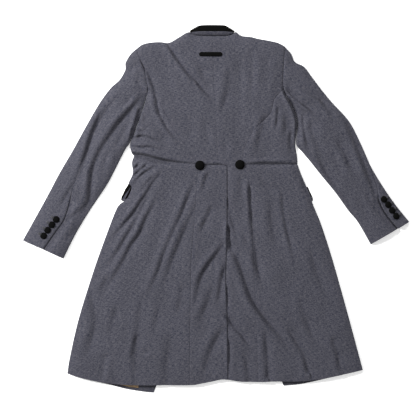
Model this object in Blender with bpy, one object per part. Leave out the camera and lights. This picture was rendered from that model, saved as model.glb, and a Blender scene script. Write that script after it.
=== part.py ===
"""A long jacket, laid flat on its front with its back up.

+X is the right of the garment as it is seen, +Y runs from hem to collar, +Z is up.
The lower layers lie flat on z = 0 and the back lies over them.
Lengths below are in millimetres, and the meshes are made in metres.
"""
import math

import bpy
import bmesh
import numpy as np
from mathutils import Matrix, Vector

MM = 0.001

# cloth
WALL = 1.6              # upright thickness of a wall
SEAM = 0.3              # between two pieces at a seam
EDGE_TOP = 6.6          # height of the folded side edge
EDGE_DEPTH = 3.4        # how far the side edge bulges
LOWEST_TOP = 5.8        # no fold of the upper layer goes below this
BODY_TOP = 13.0         # height of the back between its folds
SLEEVE_TOP = 15.0
SIDE_ROUND = 20.0       # how fast the cloth rises from a side edge
SHOULDER_ROUND = 9.0
SLEEVE_ROUND = 17.0

# sections
ARMHOLE_ROWS = 8        # from the shoulder to the side-back seam
SIDE_ROWS = 11          # from there to the waist
UNDERARM_ROWS = 2       # of those, along the lowest part of the armhole
SKIRT_ROWS = 25
SLEEVE_ROWS = 15
NECK_SHARE = 1 / 3      # of the centre-back line, level with the armhole's lower end
NECK_POINTS = 7
NECK_REACH = 92.0       # the front's neck line goes this far out before its shoulder
LINE_STEPS = 12         # between two given points of a smooth line
SKIRT_COLUMNS = {"left": (16, 5), "right": (13, 5)}     # on top and underneath
BACK_SKIRT_COLUMNS = (8, 9)
SIDE_COLUMNS = {"left": (8, 3), "right": (7, 3)}
WAIST_CHORDS = {"left": (7, 8, 5), "right": (9, 7, 5)}  # centre x, chords on top and underneath
SIDE_START = 0.35       # of its first row, where the side body's upper end is cut off

# folds
FOLD_FADE = 0.3         # share of a fold's length over which it fades in or out
BANK_AWAY = 1.9         # distance of the bank from the fold, in half widths
BANK_WIDTH = 1.2
EDGE_ANGLE = 32         # of the two lines that round a side edge off, in degrees

# vents and trim
VENT_UNDERLAP = 42.0
VENT_DROP_TOP = 3.4     # step down to the right skirt at the waist
VENT_DROP_HEM = 6.2     # and at the hem
VENT_DROP_RUN = 260.0   # down the vent to the full drop
VENT_RISE = 17.0        # from the vent's edge back up to the skirt's height
CUFF_LAP = 15.0
CUFF_DROP = 3.2
CUFF_VENT_FROM = 0.79   # share of the sleeve's length
CUFF_DROP_BEFORE = 0.14 # the under sleeve starts to drop this far before the vent
CUFF_DROP_RUN = 0.08
CUFF_LAP_RUN = 0.04
CUFF_DROP_REACH = 24.0  # across the under sleeve, from its seam
CUFF_DROP_FADE = 16.0
UNDER_SHARE = 0.47      # where the under seam runs, between the sleeve's two edges
HIP_BUTTON_DIAMETER = 27.0
HIP_BUTTON_HEIGHT = 7.5
CUFF_BUTTON_DIAMETER = 18.6
CUFF_BUTTON_HEIGHT = 5.5
BUTTON_SIDES = 14
LOOP_LENGTH = 65.0
LOOP_WIDTH = 12.0
LOOP_ARCH = 2.0
LOOP_WALL = 1.8
COLLAR_TOP = 15.0
COLLAR_RISE = 4.0       # of the roll, from its ends to its middle
COLLAR_ROLL_DEPTH = 5.0
COLLAR_STEPS = 13
COLLAR_STRIP = (-68, 47)
FLAP_WALL = 1.6
LINING_WALL = 1.0
REST = 0.35             # gap under a piece that lies on the cloth
SEAT_REACH = (0.35, 0.75, 1.15, 1.5)    # where the cloth round a seat is measured, in radii
SEAT_SIDES = 24
SEAT_FIT = 1.2          # the seat follows the slope of the cloth up to here, in radii
SLEEVE_SINK = 1.5       # the under sleeve may go this far below the lowest fold
STRIP_RAISE = 1.0       # of the collar's strip over the back's edge
SHORT_STEP = 0.4        # most of a line's distance to another that it is moved by
THIN_EDGE = 0.25        # least share of the edge's depth left inside a wall

# top line of the back, a column of the panel for each point: x, y
TOP_LEFT = ((-8, 487), (-34, 487), (-57, 488.5), (-77, 496), (-103, 482), (-131, 466.5),
            (-157, 468), (-184, 466.5), (-206, 461), (-221, 451))
TOP_RIGHT = ((-8, 487), (16, 487), (38, 488), (55, 495.5), (70, 485.5), (97, 482.5),
             (117, 477.5), (142, 473), (168, 467.5), (183, 461.5), (194, 454))

# lines on the plan, from top to hem or from neck to cuff: x, y
CENTRE_BACK = ((-8, 487), (-7, 416), (-3, 304), (3, 206), (8, 124))
ARMHOLE_LEFT = ((-221, 451), (-217, 430), (-210, 410), (-199, 382), (-193, 349))
UNDERARM_LEFT = ((-193, 349), (-193, 335), (-194.6, 319))
ARMHOLE_RIGHT = ((194, 454), (191, 425), (188.5, 380), (188, 350), (190, 337))
UNDERARM_RIGHT = ((190, 337), (193.5, 327), (197.6, 319))
SIDE_BACK_LEFT = ((-193, 349), (-155, 293), (-127, 242), (-97, 195), (-69, 160), (-50, 125))
SIDE_BACK_RIGHT = ((190, 337), (164, 307), (156, 274), (138, 252), (116, 231), (97, 206),
                   (80, 169), (71, 124))
SIDE_EDGE_LEFT = ((-193.2, 318), (-200.5, 295), (-208, 273), (-214.5, 253), (-221, 235),
                  (-228, 213), (-237, 197), (-241.5, 180), (-237, 158), (-230, 149))
SIDE_EDGE_RIGHT = ((196, 318), (207, 301), (219, 276), (226.5, 248), (227, 225), (223, 183),
                   (225, 163), (228, 145), (229, 125))
UNDER_SEAM_LEFT = ((-193, 349), (-166, 312), (-152, 250), (-160, 190), (-180, 145))
UNDER_SEAM_RIGHT = ((190, 337), (166, 305), (156, 250), (162, 190), (182, 125))
WAIST = ((-230, 149), (-206, 152), (-171, 143), (-140, 136), (-88, 129), (-46, 125), (8, 124),
         (66, 124), (122, 123), (181, 125), (229, 125))
SKIRT_EDGE_LEFT = ((-230, 149), (-236, 130), (-233, 103), (-240, 84), (-242.5, 74), (-240, 63),
                   (-241, 53), (-244.5, 42), (-252, 30), (-264, 17), (-281, -4), (-307, -71),
                   (-343, -172), (-385, -307), (-410, -416), (-417, -461))
SKIRT_EDGE_RIGHT = ((229, 125), (239, 97), (250, 72), (266, 35), (272, 13), (297, -49),
                    (326, -139), (357, -248), (383, -343), (412, -451))
BACK_SEAM_LEFT = ((-49, 125), (-56, 24), (-65, -99), (-70, -186), (-74, -493))
BACK_SEAM_RIGHT = ((71, 124), (91, 80), (97, 24), (104, -102), (110, -240), (119, -484))
VENT = ((21, 124), (26.5, 120), (29.5, 112), (30, 24), (29, -74), (26, -200), (30, -310), (32, -477))
HEM_BACK = ((-417, -461), (-382, -472), (-323, -485), (-239, -493), (-164, -493), (-74, -493),
            (-43, -489), (-7, -482), (21, -477), (69, -483), (119, -484), (172, -483),
            (237, -482), (295, -476), (349, -465), (412, -451))
HEM_FRONT_LEFT = ((-417, -461), (-351, -481), (-298, -493), (-251, -505), (-200, -513), (-175, -515))
HEM_FRONT_RIGHT = ((412, -451), (349, -466), (292, -480), (240, -491), (190, -496))
FRONT_EDGE_LEFT = ((7, 124), (-8, 40), (-45, -100), (-95, -270), (-150, -450), (-175, -515))
FRONT_EDGE_RIGHT = ((9, 124), (24, 40), (62, -100), (112, -270), (165, -435), (190, -496))
FRONT_NECK_LEFT = ((-83, 492), (-68, 476), (-40, 463), (7.85, 456))
FRONT_NECK_RIGHT = ((61, 491), (50, 476), (30, 463), (8.15, 456))

SLEEVE_OUTER_LEFT = ((-221, 451), (-239, 435), (-254, 410), (-254, 392), (-270, 363),
                     (-295, 340), (-326, 298), (-365, 231), (-402, 164), (-441, 97),
                     (-477, 29), (-542, -88))
SLEEVE_INNER_LEFT = ((-195, 318), (-202.2, 295), (-209.7, 273), (-216.3, 253), (-222.8, 235),
                     (-230, 213), (-239.5, 196), (-246, 181), (-256, 164), (-290, 97), (-309, 63),
                     (-354, -4), (-393, -69), (-428, -139))
SLEEVE_SEAM_LEFT = ((-193, 349), (-251, 323), (-295, 284), (-332, 234), (-354, 183),
                    (-388, 94), (-405, 41), (-424, -25), (-449, -63), (-483, -113))
SLEEVE_OUTER_RIGHT = ((194, 454), (211, 435), (222, 412), (247, 399), (273, 365), (298, 332),
                      (326, 298), (374, 245), (407, 181), (438, 113), (491, 29), (542, -36))
SLEEVE_INNER_RIGHT = ((198, 318), (209, 302), (221.2, 277), (228.6, 249), (229, 225),
                      (227, 200), (228, 184), (232, 173), (241, 161), (267, 130), (293, 97),
                      (335, 46), (371, -4), (399, -38), (434, -99))
SLEEVE_SEAM_RIGHT = ((190, 337), (237, 352), (298, 309), (363, 242), (393, 189), (410, 133),
                     (430, 66), (449, 24), (472, -10), (510, -55))

COLLAR_SEAM = ((-72, 495.6), (-50, 497), (-8, 497), (30, 497), (50, 495.2))
COLLAR_ROLL = ((-74, 499.6), (-60, 508), (-46, 514.2), (-30, 515.6), (10, 515.6), (27, 514),
               (40, 506), (52, 499))
COLLAR_INSIDE = ((-67, 490), (-40, 483), (-8, 480), (24, 483), (46, 490))

# folds of the body: start, middle and end (x, y), half width, depth, bank, reaches the hem.
# The bank is the ridge beside the fold: to its left for a positive height, looking from its
# start to its end, and to its right for a negative one.
BODY_FOLDS = (
    (-133, 467, -74, 368, -13, 307, 9, 5.0, -1.8, 0),
    (-46, 421, -32, 374, -15, 340, 9, 1.8, 0.6, 0),
    (32, 410, 29, 335, 18, 228, 12, 2.2, 0.8, 0),
    (101, 475, 108, 374, 94, 242, 12, 1.6, 0.6, 0),
    (-186, 416, -185, 399, -181, 379, 6, 2.0, 0.0, 0),
    (-178, 298, -172, 276, -160, 250, 8, 3.0, 1.0, 0),
    (-214, 220, -178, 214, -141, 178, 8, 3.2, 1.4, 0),
    (-226, 190, -206, 183, -180, 174, 7, 2.6, 1.2, 0),
    (189, 276, 196, 234, 194, 185, 8, 2.8, 1.2, 0),
    (138, 262, 124, 200, 112, 150, 10, 2.0, 0.8, 0),
    (-153, 97, -203, 13, -300, -92, 9, 6.0, -2.4, 0),
    (-167, 27, -209, -63, -300, -210, 10, 4.6, -2.4, 0),
    (-63, 57, -125, -94, -206, -305, 12, 5.4, -2.2, 0),
    (-59, -1, -111, -127, -170, -290, 11, 4.6, -2.0, 0),
    (8, -90, -36, -180, -72, -300, 8, 4.6, 1.6, 0),
    (10, -200, -12, -270, -34, -340, 8, 4.0, 1.4, 0),
    (8, -335, -16, -385, -34, -440, 9, 3.4, 1.2, 0),
    (-190, -290, -212, -390, -251, -480, 12, 4.2, -1.6, 1),
    (-345, -180, -362, -310, -391, -458, 13, 4.6, -1.6, 1),
    (-262, -330, -277, -400, -287, -487, 10, 3.0, 1.2, 1),
    (38, -99, 97, -237, 209, -377, 11, 6.8, 3.4, 0),
    (189, -326, 242, -390, 266, -480, 9, 4.0, 2.0, 1),
    (40, -265, 60, -312, 100, -372, 9, 4.2, 1.4, 0),
    (41, 7, 49, -46, 60, -95, 8, 2.4, 1.0, 0),
    (119, -330, 130, -396, 132, -484, 11, 3.6, 1.2, 1),
    (236, 92, 272, 24, 287, -28, 9, 3.0, -1.2, 0),
    (183, 35, 203, -88, 228, -256, 10, 1.6, 0.6, 0),
    (329, -372, 345, -420, 352, -465, 10, 2.6, 1.2, 1),
)

SLEEVE_FOLDS_LEFT = (
    (-197, 343, -301, 203, -351, 94, 9, 6.4, -1.8, 0),
    (-347, 108, -362, 18, -440, -84, 9, 5.2, 1.8, 0),
    (-251, 332, -346, 213, -455, 29, 10, 4.6, -1.6, 0),
    (-363, 139, -384, 88, -412, 41, 8, 3.2, -1.2, 0),
    (-240, 398, -222, 408, -208, 414, 8, 2.4, 0.8, 0),
    (-227, 290, -262, 220, -300, 150, 9, 3.0, 1.2, 0),
)
SLEEVE_FOLDS_RIGHT = (
    (204, 336, 262, 312, 328, 242, 8, 5.6, 1.6, 0),
    (296, 290, 318, 279, 340, 262, 7, 3.6, 1.2, 0),
    (360, 248, 399, 164, 433, 18, 9, 4.6, -1.6, 0),
    (273, 175, 321, 99, 410, -20, 10, 4.8, 1.8, 0),
    (240, 240, 251, 205, 262, 165, 8, 3.2, 1.2, 0),
    (345, 134, 368, 113, 390, 92, 8, 3.0, -1.2, 0),
)

# pocket flaps: the outline, and the strip of cloth along the lower edge, inside it
FLAP_LEFT = ((-239, 71), (-247, 69), (-253, 54), (-259, 44), (-265.5, 34), (-262, 30.5), (-254, 37),
             (-248, 46), (-241, 61), (-234.5, 56), (-238, 40), (-241, 33), (-134, 30), (-134, 66))
FLAP_EDGE_LEFT = ((-240.6, 60.2), (-247.5, 45.5), (-253.6, 36.6), (-262, 29.9), (-265.5, 31),
                  (-264.5, 25), (-260, 20.5), (-140, 14), (-140, 29.4), (-241.4, 32.4),
                  (-238.5, 40), (-235, 55.5))
FLAP_RIGHT = ((258, 62), (265, 46), (271.5, 33), (146, 24), (140, 66))
FLAP_EDGE_RIGHT = ((271.6, 32.4), (272.6, 23), (146, 14), (146.4, 23.4))
FLAP_SPREAD = 46.0      # the front is lifted this far round a flap
FLAP_FADE = 40.0

LINING_LEFT = ((-330, -440), (-214, -440), (-218, -502), (-246, -499), (-322, -479))

HIP_BUTTONS = (("left", -45, 122), ("right", 67, 124))
CUFF_BUTTONS = (
    ("left", 1, -447, -29), ("left", 2, -459, -44), ("left", 3, -471, -59), ("left", 4, -482, -75),
    ("right", 1, 470, 27), ("right", 2, 482, 12), ("right", 3, 493, -4), ("right", 4, 504, -20),
)
LOOP_MIDDLE = (-15, 433)

# share of the diameter, share of the height
BUTTON_PROFILE = ((0, 0), (0.42, 0), (0.5, 0.2), (0.41, 0.68), (0.22, 0.93), (0, 1))


def smooth(points):
    """Close-set points on a smooth line through the given ones."""
    p = np.array(points, float)
    p = np.vstack([2 * p[0] - p[1], p, 2 * p[-1] - p[-2]])
    s = np.linspace(0, 1, LINE_STEPS, endpoint=False)[:, None]
    runs = []
    for a, b, c, d in zip(p, p[1:], p[2:], p[3:]):
        cubic = 3 * b - a - 3 * c + d
        runs.append(0.5 * (2 * b + (c - a) * s + (2 * a - 5 * b + 4 * c - d) * s**2 + cubic * s**3))
    runs.append(p[-2][None])
    return np.vstack(runs)


def spaced(points, shares):
    """Points at the given shares of a smooth line's length."""
    line = smooth(points)
    run = np.concatenate([[0], np.cumsum(np.linalg.norm(np.diff(line, axis=0), axis=1))])
    return np.column_stack([np.interp(shares, run / run[-1], line[:, axis]) for axis in (0, 1)])


def level(points, x):
    """y of a line that runs across the garment, at x."""
    line = smooth(points)
    line = line[np.argsort(line[:, 0])]
    return np.interp(x, line[:, 0], line[:, 1])


def across(points, x_from, x_to, columns, shift=0.0):
    """Points on a line that runs across, from one x to another, moved along Y by shift."""
    x = np.linspace(x_from, x_to, columns + 1)
    return np.column_stack([x, level(points, x) + shift])


def along_chords(chords, x_from, x_to, columns, shift):
    """Points on a line of chords, so that a coarse piece and a fine one meet at their seam."""
    x = np.linspace(x_from, x_to, columns + 1)
    order = np.argsort(chords[:, 0])
    return np.column_stack([x, np.interp(x, chords[order, 0], chords[order, 1]) + shift])


def straight(start, end, columns):
    return np.linspace(start, end, columns + 1)


def ease(value):
    """0 below 0, 1 above 1 and a soft step between."""
    value = np.clip(value, 0.0, 1.0)
    return value * value * (3 - 2 * value)


def nearest(x, y, line):
    """Distance to a line, the share of its length there, and the side, +1 on its left."""
    a = line[:-1]
    step = line[1:] - a
    length = np.linalg.norm(step, axis=1)
    dx = x[..., None] - a[:, 0]
    dy = y[..., None] - a[:, 1]
    share = np.clip((dx * step[:, 0] + dy * step[:, 1]) / length**2, 0, 1)
    away = np.hypot(dx - share * step[:, 0], dy - share * step[:, 1])
    best = away.argmin(axis=-1)[..., None]
    started = np.concatenate([[0], np.cumsum(length)])[:-1]
    run = (started + share * length) / length.sum()
    side = np.sign(step[:, 0] * dy - step[:, 1] * dx)
    return (np.take_along_axis(values, best, -1)[..., 0] for values in (away, run, side))


def fold_height(x, y, folds):
    """Height that the folds add: a soft trough with a bank on one side."""
    total = np.zeros_like(x)
    for x0, y0, x1, y1, x2, y2, width, depth, bank, to_hem in folds:
        s = np.linspace(0, 1, LINE_STEPS + 1)[:, None]
        start, middle, end = np.array([[x0, y0]]), np.array([[x1, y1]]), np.array([[x2, y2]])
        line = (start * (1 - s) * (1 - 2 * s) + middle * 4 * s * (1 - s) + end * s * (2 * s - 1))
        away, run, side = nearest(x, y, line)
        fade = ease(run / FOLD_FADE) * (1.0 if to_hem else ease((1 - run) / FOLD_FADE))
        beside = away * side * math.copysign(1, bank or 1) - BANK_AWAY * width
        ridge = abs(bank) * np.exp(-(beside / (BANK_WIDTH * width))**2)
        total += fade * (ridge - depth * np.exp(-(away / width)**2))
    return total


def keep_above(z, lowest):
    """The height, softly kept above the lowest one."""
    return lowest + (np.sqrt((z - lowest)**2 + 1.0) + (z - lowest)) / 2


def rise_from(x, y, line, reach):
    away, _, _ = nearest(x, y, line)
    return 1 - np.exp(-away / reach)


def body_rise(x, y):
    """0 on the outline, near 1 well inside it."""
    rise = np.ones_like(x)
    for line in (SIDE_EDGE_LEFT, SIDE_EDGE_RIGHT, SKIRT_EDGE_LEFT, SKIRT_EDGE_RIGHT):
        rise = np.minimum(rise, rise_from(x, y, smooth(line), SIDE_ROUND))
    for line in (TOP_LEFT, TOP_RIGHT):
        rise = np.minimum(rise, rise_from(x, y, smooth(line), SHOULDER_ROUND))
    return rise


def body_top(x, y):
    """Height of the back's upper side."""
    z = EDGE_TOP + (BODY_TOP - EDGE_TOP) * body_rise(x, y) + fold_height(x, y, BODY_FOLDS)
    return keep_above(z, LOWEST_TOP)


def vent_x(y):
    line = smooth(VENT)
    return np.interp(-y, -line[:, 1], line[:, 0])


def lapped_top(x, y):
    """Height of the right back skirt, which goes down under the left one at the vent."""
    down = ease((VENT[0][1] - y) / VENT_DROP_RUN)
    low = BODY_TOP - VENT_DROP_TOP - (VENT_DROP_HEM - VENT_DROP_TOP) * down
    beyond = ease((x - vent_x(y) - 1) / VENT_RISE)
    return low + (body_top(x, y) - low) * beyond


def sleeve_top(outer, inner, folds):
    """Height function of one sleeve's upper side."""
    edges = smooth(outer), smooth(inner)

    def top(x, y):
        rise = np.minimum(*(rise_from(x, y, edge, SLEEVE_ROUND) for edge in edges))
        z = EDGE_TOP + (SLEEVE_TOP - EDGE_TOP) * rise + fold_height(x, y, folds)
        return keep_above(z, LOWEST_TOP)
    return top


def flap_lift(flap):
    """Height function of a front skirt, lifted where it lies on its pocket flap."""
    outline = np.array(flap + flap[:1], float)
    low, high = outline.min(axis=0), outline.max(axis=0)

    def lift(x, y):
        away = np.hypot(np.maximum(0, np.maximum(low[0] - x, x - high[0])),
                        np.maximum(0, np.maximum(low[1] - y, y - high[1])))
        return (FLAP_WALL + REST) * ease(1 - (away - FLAP_SPREAD) / FLAP_FADE)
    return lift


def flat(x, y):
    """The lower layer lies on the surface."""
    return np.zeros_like(x)


def blend(first, last, top, bottom, shares):
    """A grid between two side lines, a point for a row, and two end lines, one for a column."""
    v = np.asarray(shares, float)
    v = ((v - v[0]) / (v[-1] - v[0]))[:, None, None]
    u = np.linspace(0, 1, len(top))[None, :, None]
    first, last = first[:, None, :], last[:, None, :]
    top, bottom = top[None], bottom[None]
    corners = ((1 - v) * ((1 - u) * top[:, :1] + u * top[:, -1:])
               + v * ((1 - u) * bottom[:, :1] + u * bottom[:, -1:]))
    return (1 - u) * first + u * last + (1 - v) * top + v * bottom - corners


def with_height(plan, z):
    return np.concatenate([plan, z[..., None]], axis=-1)


def moved_in(line, towards, distance):
    """A line moved towards another by a distance."""
    step = towards - line
    length = np.linalg.norm(step, axis=1, keepdims=True)
    return line + step / length * np.minimum(distance, SHORT_STEP * length)


def material(name, colour, roughness, sheen=0.0):
    made = bpy.data.materials.new(name)
    made.use_nodes = True
    shader = made.node_tree.nodes["Principled BSDF"]
    shader.inputs["Base Color"].default_value = (*colour, 1.0)
    shader.inputs["Roughness"].default_value = roughness
    shader.inputs["Sheen Weight"].default_value = sheen
    return made


def finish(name, mesh, surface):
    """Turn a bmesh in millimetres into a named object in metres."""
    bmesh.ops.scale(mesh, vec=(MM, MM, MM), verts=mesh.verts)
    bmesh.ops.recalc_face_normals(mesh, faces=mesh.faces)
    data = bpy.data.meshes.new(name)
    mesh.to_mesh(data)
    mesh.free()
    data.shade_smooth()
    data.set_sharp_from_angle(angle=math.radians(50))
    made = bpy.data.objects.new(name, data)
    made.data.materials.append(surface)
    bpy.context.scene.collection.objects.link(made)
    return made


def wall(name, outer, inner, surface):
    """A closed wall of cloth between an outer and an inner grid of points."""
    rows, columns = outer.shape[:2]
    mesh = bmesh.new()
    bmesh.ops.create_grid(mesh, x_segments=columns - 1, y_segments=rows - 1, size=1.0)
    place = mesh.verts.layers.int.new("place")
    for number, vert in enumerate(mesh.verts):
        vert[place] = number
        vert.co = Vector(outer.reshape(-1, 3)[number])
    sheet = mesh.verts[:] + mesh.edges[:] + mesh.faces[:]
    grown = bmesh.ops.extrude_face_region(mesh, geom=sheet, use_keep_orig=True)
    for vert in grown["geom"]:
        if isinstance(vert, bmesh.types.BMVert):
            vert.co = Vector(inner.reshape(-1, 3)[vert[place]])
    return finish(name, mesh, surface)


def panel(name, plan, top, surface):
    """A panel of the upper layer, following a height function."""
    z = top(plan[..., 0], plan[..., 1])
    return wall(name, with_height(plan, z), with_height(plan, z - WALL), surface)


def folded(name, upper, lower, edge, heights, surface):
    """A panel that lies on top, goes round the side edge and comes back underneath.

    upper runs from its seam to just inside the edge, and lower from there to its seam.
    """
    upper_z, lower_z = heights
    turn = upper[:, -1]
    out = edge - turn
    depth = np.linalg.norm(out, axis=1, keepdims=True)
    out = out / depth
    top, low = upper_z[:, -1], lower_z[:, 0]
    middle, half = (top + low) / 2, (top - low) / 2
    outer = [with_height(upper, upper_z)]
    inner = [with_height(upper, upper_z - WALL)]
    for angle in (math.radians(EDGE_ANGLE), math.radians(-EDGE_ANGLE)):
        reach, lift = math.cos(angle), math.sin(angle)
        outer.append(with_height(turn + out * depth * reach, middle + half * lift)[:, None])
        thin = np.maximum(depth - WALL, THIN_EDGE * depth)
        inner.append(with_height(turn + out * thin * reach, middle + (half - WALL) * lift)[:, None])
    outer.append(with_height(lower, lower_z))
    inner.append(with_height(lower, lower_z + WALL))
    return wall(name, np.concatenate(outer, axis=1), np.concatenate(inner, axis=1), surface)


def plate(name, outline, z, thickness, surface):
    """A flat piece with an outline on the plan."""
    mesh = bmesh.new()
    face = mesh.faces.new([mesh.verts.new((x, y, z)) for x, y in outline])
    grown = bmesh.ops.extrude_face_region(mesh, geom=[face], use_keep_orig=True)
    raised = [item for item in grown["geom"] if isinstance(item, bmesh.types.BMVert)]
    bmesh.ops.translate(mesh, vec=(0, 0, thickness), verts=raised)
    return finish(name, mesh, surface)


def seat(top, x, y, radius):
    """Height and slopes of a flat seat that clears the cloth round a place."""
    angles = np.tile(np.linspace(0, 2 * math.pi, SEAT_SIDES, endpoint=False), len(SEAT_REACH))
    reach = np.repeat(radius * np.array(SEAT_REACH), SEAT_SIDES)
    px = x + reach * np.cos(angles)
    py = y + reach * np.sin(angles)
    pz = top(px, py)
    inside = reach < radius * SEAT_FIT
    fit = np.column_stack([px - x, py - y, np.ones_like(px)])
    slope_x, slope_y, _ = np.linalg.lstsq(fit[inside], pz[inside], rcond=None)[0]
    above = pz[inside] - slope_x * (px - x)[inside] - slope_y * (py - y)[inside]
    return float(above.max()) + REST, float(slope_x), float(slope_y)


def button(name, top, x, y, diameter, height, surface):
    """A domed button, turned about its axis and laid on the cloth."""
    mesh = bmesh.new()
    ring = [mesh.verts.new((share * diameter, 0, up * height)) for share, up in BUTTON_PROFILE]
    profile = ring + [mesh.edges.new(pair) for pair in zip(ring, ring[1:])]
    bmesh.ops.spin(mesh, geom=profile, axis=(0, 0, 1), cent=(0, 0, 0), steps=BUTTON_SIDES,
                   angle=2 * math.pi, use_merge=True)
    bmesh.ops.remove_doubles(mesh, verts=mesh.verts, dist=0.01)
    z, slope_x, slope_y = seat(top, x, y, diameter / 2)
    lean = Vector((0, 0, 1)).rotation_difference(Vector((-slope_x, -slope_y, 1)).normalized())
    turn = Matrix.Translation((x, y, z)) @ lean.to_matrix().to_4x4()
    bmesh.ops.transform(mesh, matrix=turn, verts=mesh.verts)
    return finish(name, mesh, surface)


def armhole_points(armhole, underarm):
    """The armhole as shared points: the back, the front and the sleeve all meet along them."""
    upper = spaced(armhole, np.linspace(0, 1, ARMHOLE_ROWS + 1))
    lower = spaced(underarm, np.linspace(0, 1, UNDERARM_ROWS + 1))
    return np.vstack([upper, lower[1:]])


BODICE_SHARES = np.concatenate([
    np.linspace(0, NECK_SHARE, ARMHOLE_ROWS + 1),
    np.linspace(NECK_SHARE, 1, SIDE_ROWS + 1)[1:],
])


def build_back(side, top_line, armhole, side_back, cloth):
    """Back bodice from the centre-back seam to the armhole and the side-back seam."""
    centre = spaced(CENTRE_BACK, BODICE_SHARES)
    outer = np.vstack([
        spaced(armhole, np.linspace(0, 1, ARMHOLE_ROWS + 1)),
        spaced(side_back, np.linspace(0, 1, SIDE_ROWS + 1))[1:],
    ])
    first = moved_in(centre, outer, SEAM / 2)
    last = moved_in(outer, centre, SEAM / 2)
    top = np.array(top_line, float)
    top[0], top[-1] = first[0], last[0]
    bottom = across(WAIST, first[-1, 0], last[-1, 0], len(top) - 1, SEAM / 2)
    first[-1], last[-1] = bottom[0], bottom[-1]
    plan = blend(first, last, top, bottom, BODICE_SHARES)
    panel(f"back_{side}", plan, body_top, cloth)


def side_lines(side_back, underarm, side_edge, under_seam):
    """Rows of the side body: its seam on top, the folded edge and its seam underneath."""
    shares = np.linspace(0, 1, SIDE_ROWS + 1)
    seam = spaced(side_back, shares)
    below = SIDE_ROWS - UNDERARM_ROWS
    edge = np.vstack([
        spaced(underarm, np.linspace(0, 1, UNDERARM_ROWS + 1))[:-1],
        spaced(side_edge, np.linspace(0, 1, below + 1)),
    ])
    under = spaced(under_seam, shares)
    for line in (seam, edge, under):
        line[0] = line[0] + SIDE_START * (line[1] - line[0])
    return seam, edge, under


def waist_chords(seam_x, edge_x, centre_x, upper, lower):
    """The waist seam of one side as shared chords, on top and underneath."""
    return across(WAIST, seam_x, edge_x, upper), across(WAIST, edge_x, centre_x, lower)


def build_side(side, lines, columns, waist, cloth):
    """Side body, folded round the side edge from the back to the front."""
    seam, edge, under = lines
    turn = moved_in(edge, seam, EDGE_DEPTH)
    seam = moved_in(seam, edge, SEAM / 2)
    under = moved_in(under, edge, SEAM)
    shares = np.linspace(0, 1, len(seam))
    many, few = columns
    waist_top = along_chords(waist[0], seam[-1, 0], turn[-1, 0], many, SEAM / 2)
    waist_low = along_chords(waist[1], turn[-1, 0], under[-1, 0], few, SEAM / 2)
    waist_low[0] = waist_top[-1]
    waist_low[-1] = waist[1][1] + (0, SEAM / 2)
    seam[-1], under[-1] = waist_top[0], waist_low[-1]
    turn[-1], edge[-1, 1] = waist_top[-1], waist_top[-1, 1]
    upper = blend(seam, turn, straight(seam[0], turn[0], many), waist_top, shares)
    lower = blend(turn, under, straight(turn[0], under[0], few), waist_low, shares)
    heights = body_top(upper[..., 0], upper[..., 1]), flat(lower[..., 0], lower[..., 1])
    folded(f"side_{side}", upper, lower, edge, heights, cloth)


def build_front(side, top_line, armhole, under_seam, neck, waist, cloth):
    """Front bodice, plain, from the shoulder to the waist."""
    arm = spaced(armhole, np.linspace(0, 1, ARMHOLE_ROWS + 1))
    shoulder = [point for point in top_line if abs(point[0] - neck[-1][0]) > NECK_REACH][:-1]
    under = spaced(under_seam, np.linspace(0, 1, SIDE_ROWS + 1))[1:-1]
    clear = math.copysign(SEAM, neck[-1][0] - under[-1, 0])
    below = waist[1][1:] + (0, SEAM / 2)
    below[0, 0] += clear
    below[-1, 0] = neck[-1][0]
    outline = [*spaced(neck, np.linspace(0, 1, NECK_POINTS))[::-1], *shoulder, *arm, *under, *below]
    plate(f"front_{side}", [(float(x), float(y)) for x, y in outline], 0.0, WALL, cloth)


def build_skirt(side, edge_line, back_seam, front_edge, hem_front, columns, waist, flap, cloth):
    """Side skirt, from the back seam round the side edge to the front edge."""
    shares = np.linspace(0, 1, SKIRT_ROWS + 1)
    seam, edge, front = (spaced(line, shares) for line in (back_seam, edge_line, front_edge))
    turn = moved_in(edge, seam, EDGE_DEPTH)
    seam = moved_in(seam, edge, SEAM / 2)
    many, few = columns
    waist_top = along_chords(waist[0], seam[0, 0], turn[0, 0], many, -SEAM / 2)
    waist_low = along_chords(waist[1], turn[0, 0], front[0, 0], few, -SEAM / 2)
    hem_top = across(HEM_BACK, seam[-1, 0], turn[-1, 0], many)
    hem_low = across(hem_front, turn[-1, 0], front[-1, 0], few)
    seam[0], turn[0], front[0] = waist_top[0], waist_top[-1], waist_low[-1]
    seam[-1], turn[-1], front[-1] = hem_top[0], hem_top[-1], hem_low[-1]
    hem_low[0] = turn[-1]
    edge[0, 1] = turn[0, 1]
    upper = blend(seam, turn, waist_top, hem_top, shares)
    lower = blend(turn, front, waist_low, hem_low, shares)
    heights = (body_top(upper[..., 0], upper[..., 1]),
               flap_lift(flap)(lower[..., 0], lower[..., 1]))
    folded(f"skirt_{side}", upper, lower, edge, heights, cloth)


def build_back_skirts(cloth):
    """Centre-back skirts. The left one ends at the vent and the right one goes on under it."""
    shares = np.linspace(0, 1, SKIRT_ROWS + 1)
    vent = spaced(VENT, shares)
    for side, seam_line, start, columns, top in (
            ("left", BACK_SEAM_LEFT, vent, BACK_SKIRT_COLUMNS[0], body_top),
            ("right", BACK_SEAM_RIGHT, vent - (VENT_UNDERLAP, 0), BACK_SKIRT_COLUMNS[1], lapped_top)):
        start = start.copy()
        seam = moved_in(spaced(seam_line, shares), start, SEAM / 2)
        waist = across(WAIST, start[0, 0], seam[0, 0], columns, -SEAM / 2)
        hem = across(HEM_BACK, start[-1, 0], seam[-1, 0], columns)
        start[0], seam[0] = waist[0], waist[-1]
        start[-1], seam[-1] = hem[0], hem[-1]
        panel(f"skirt_back_{side}", blend(start, seam, waist, hem, shares), top, cloth)


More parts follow.
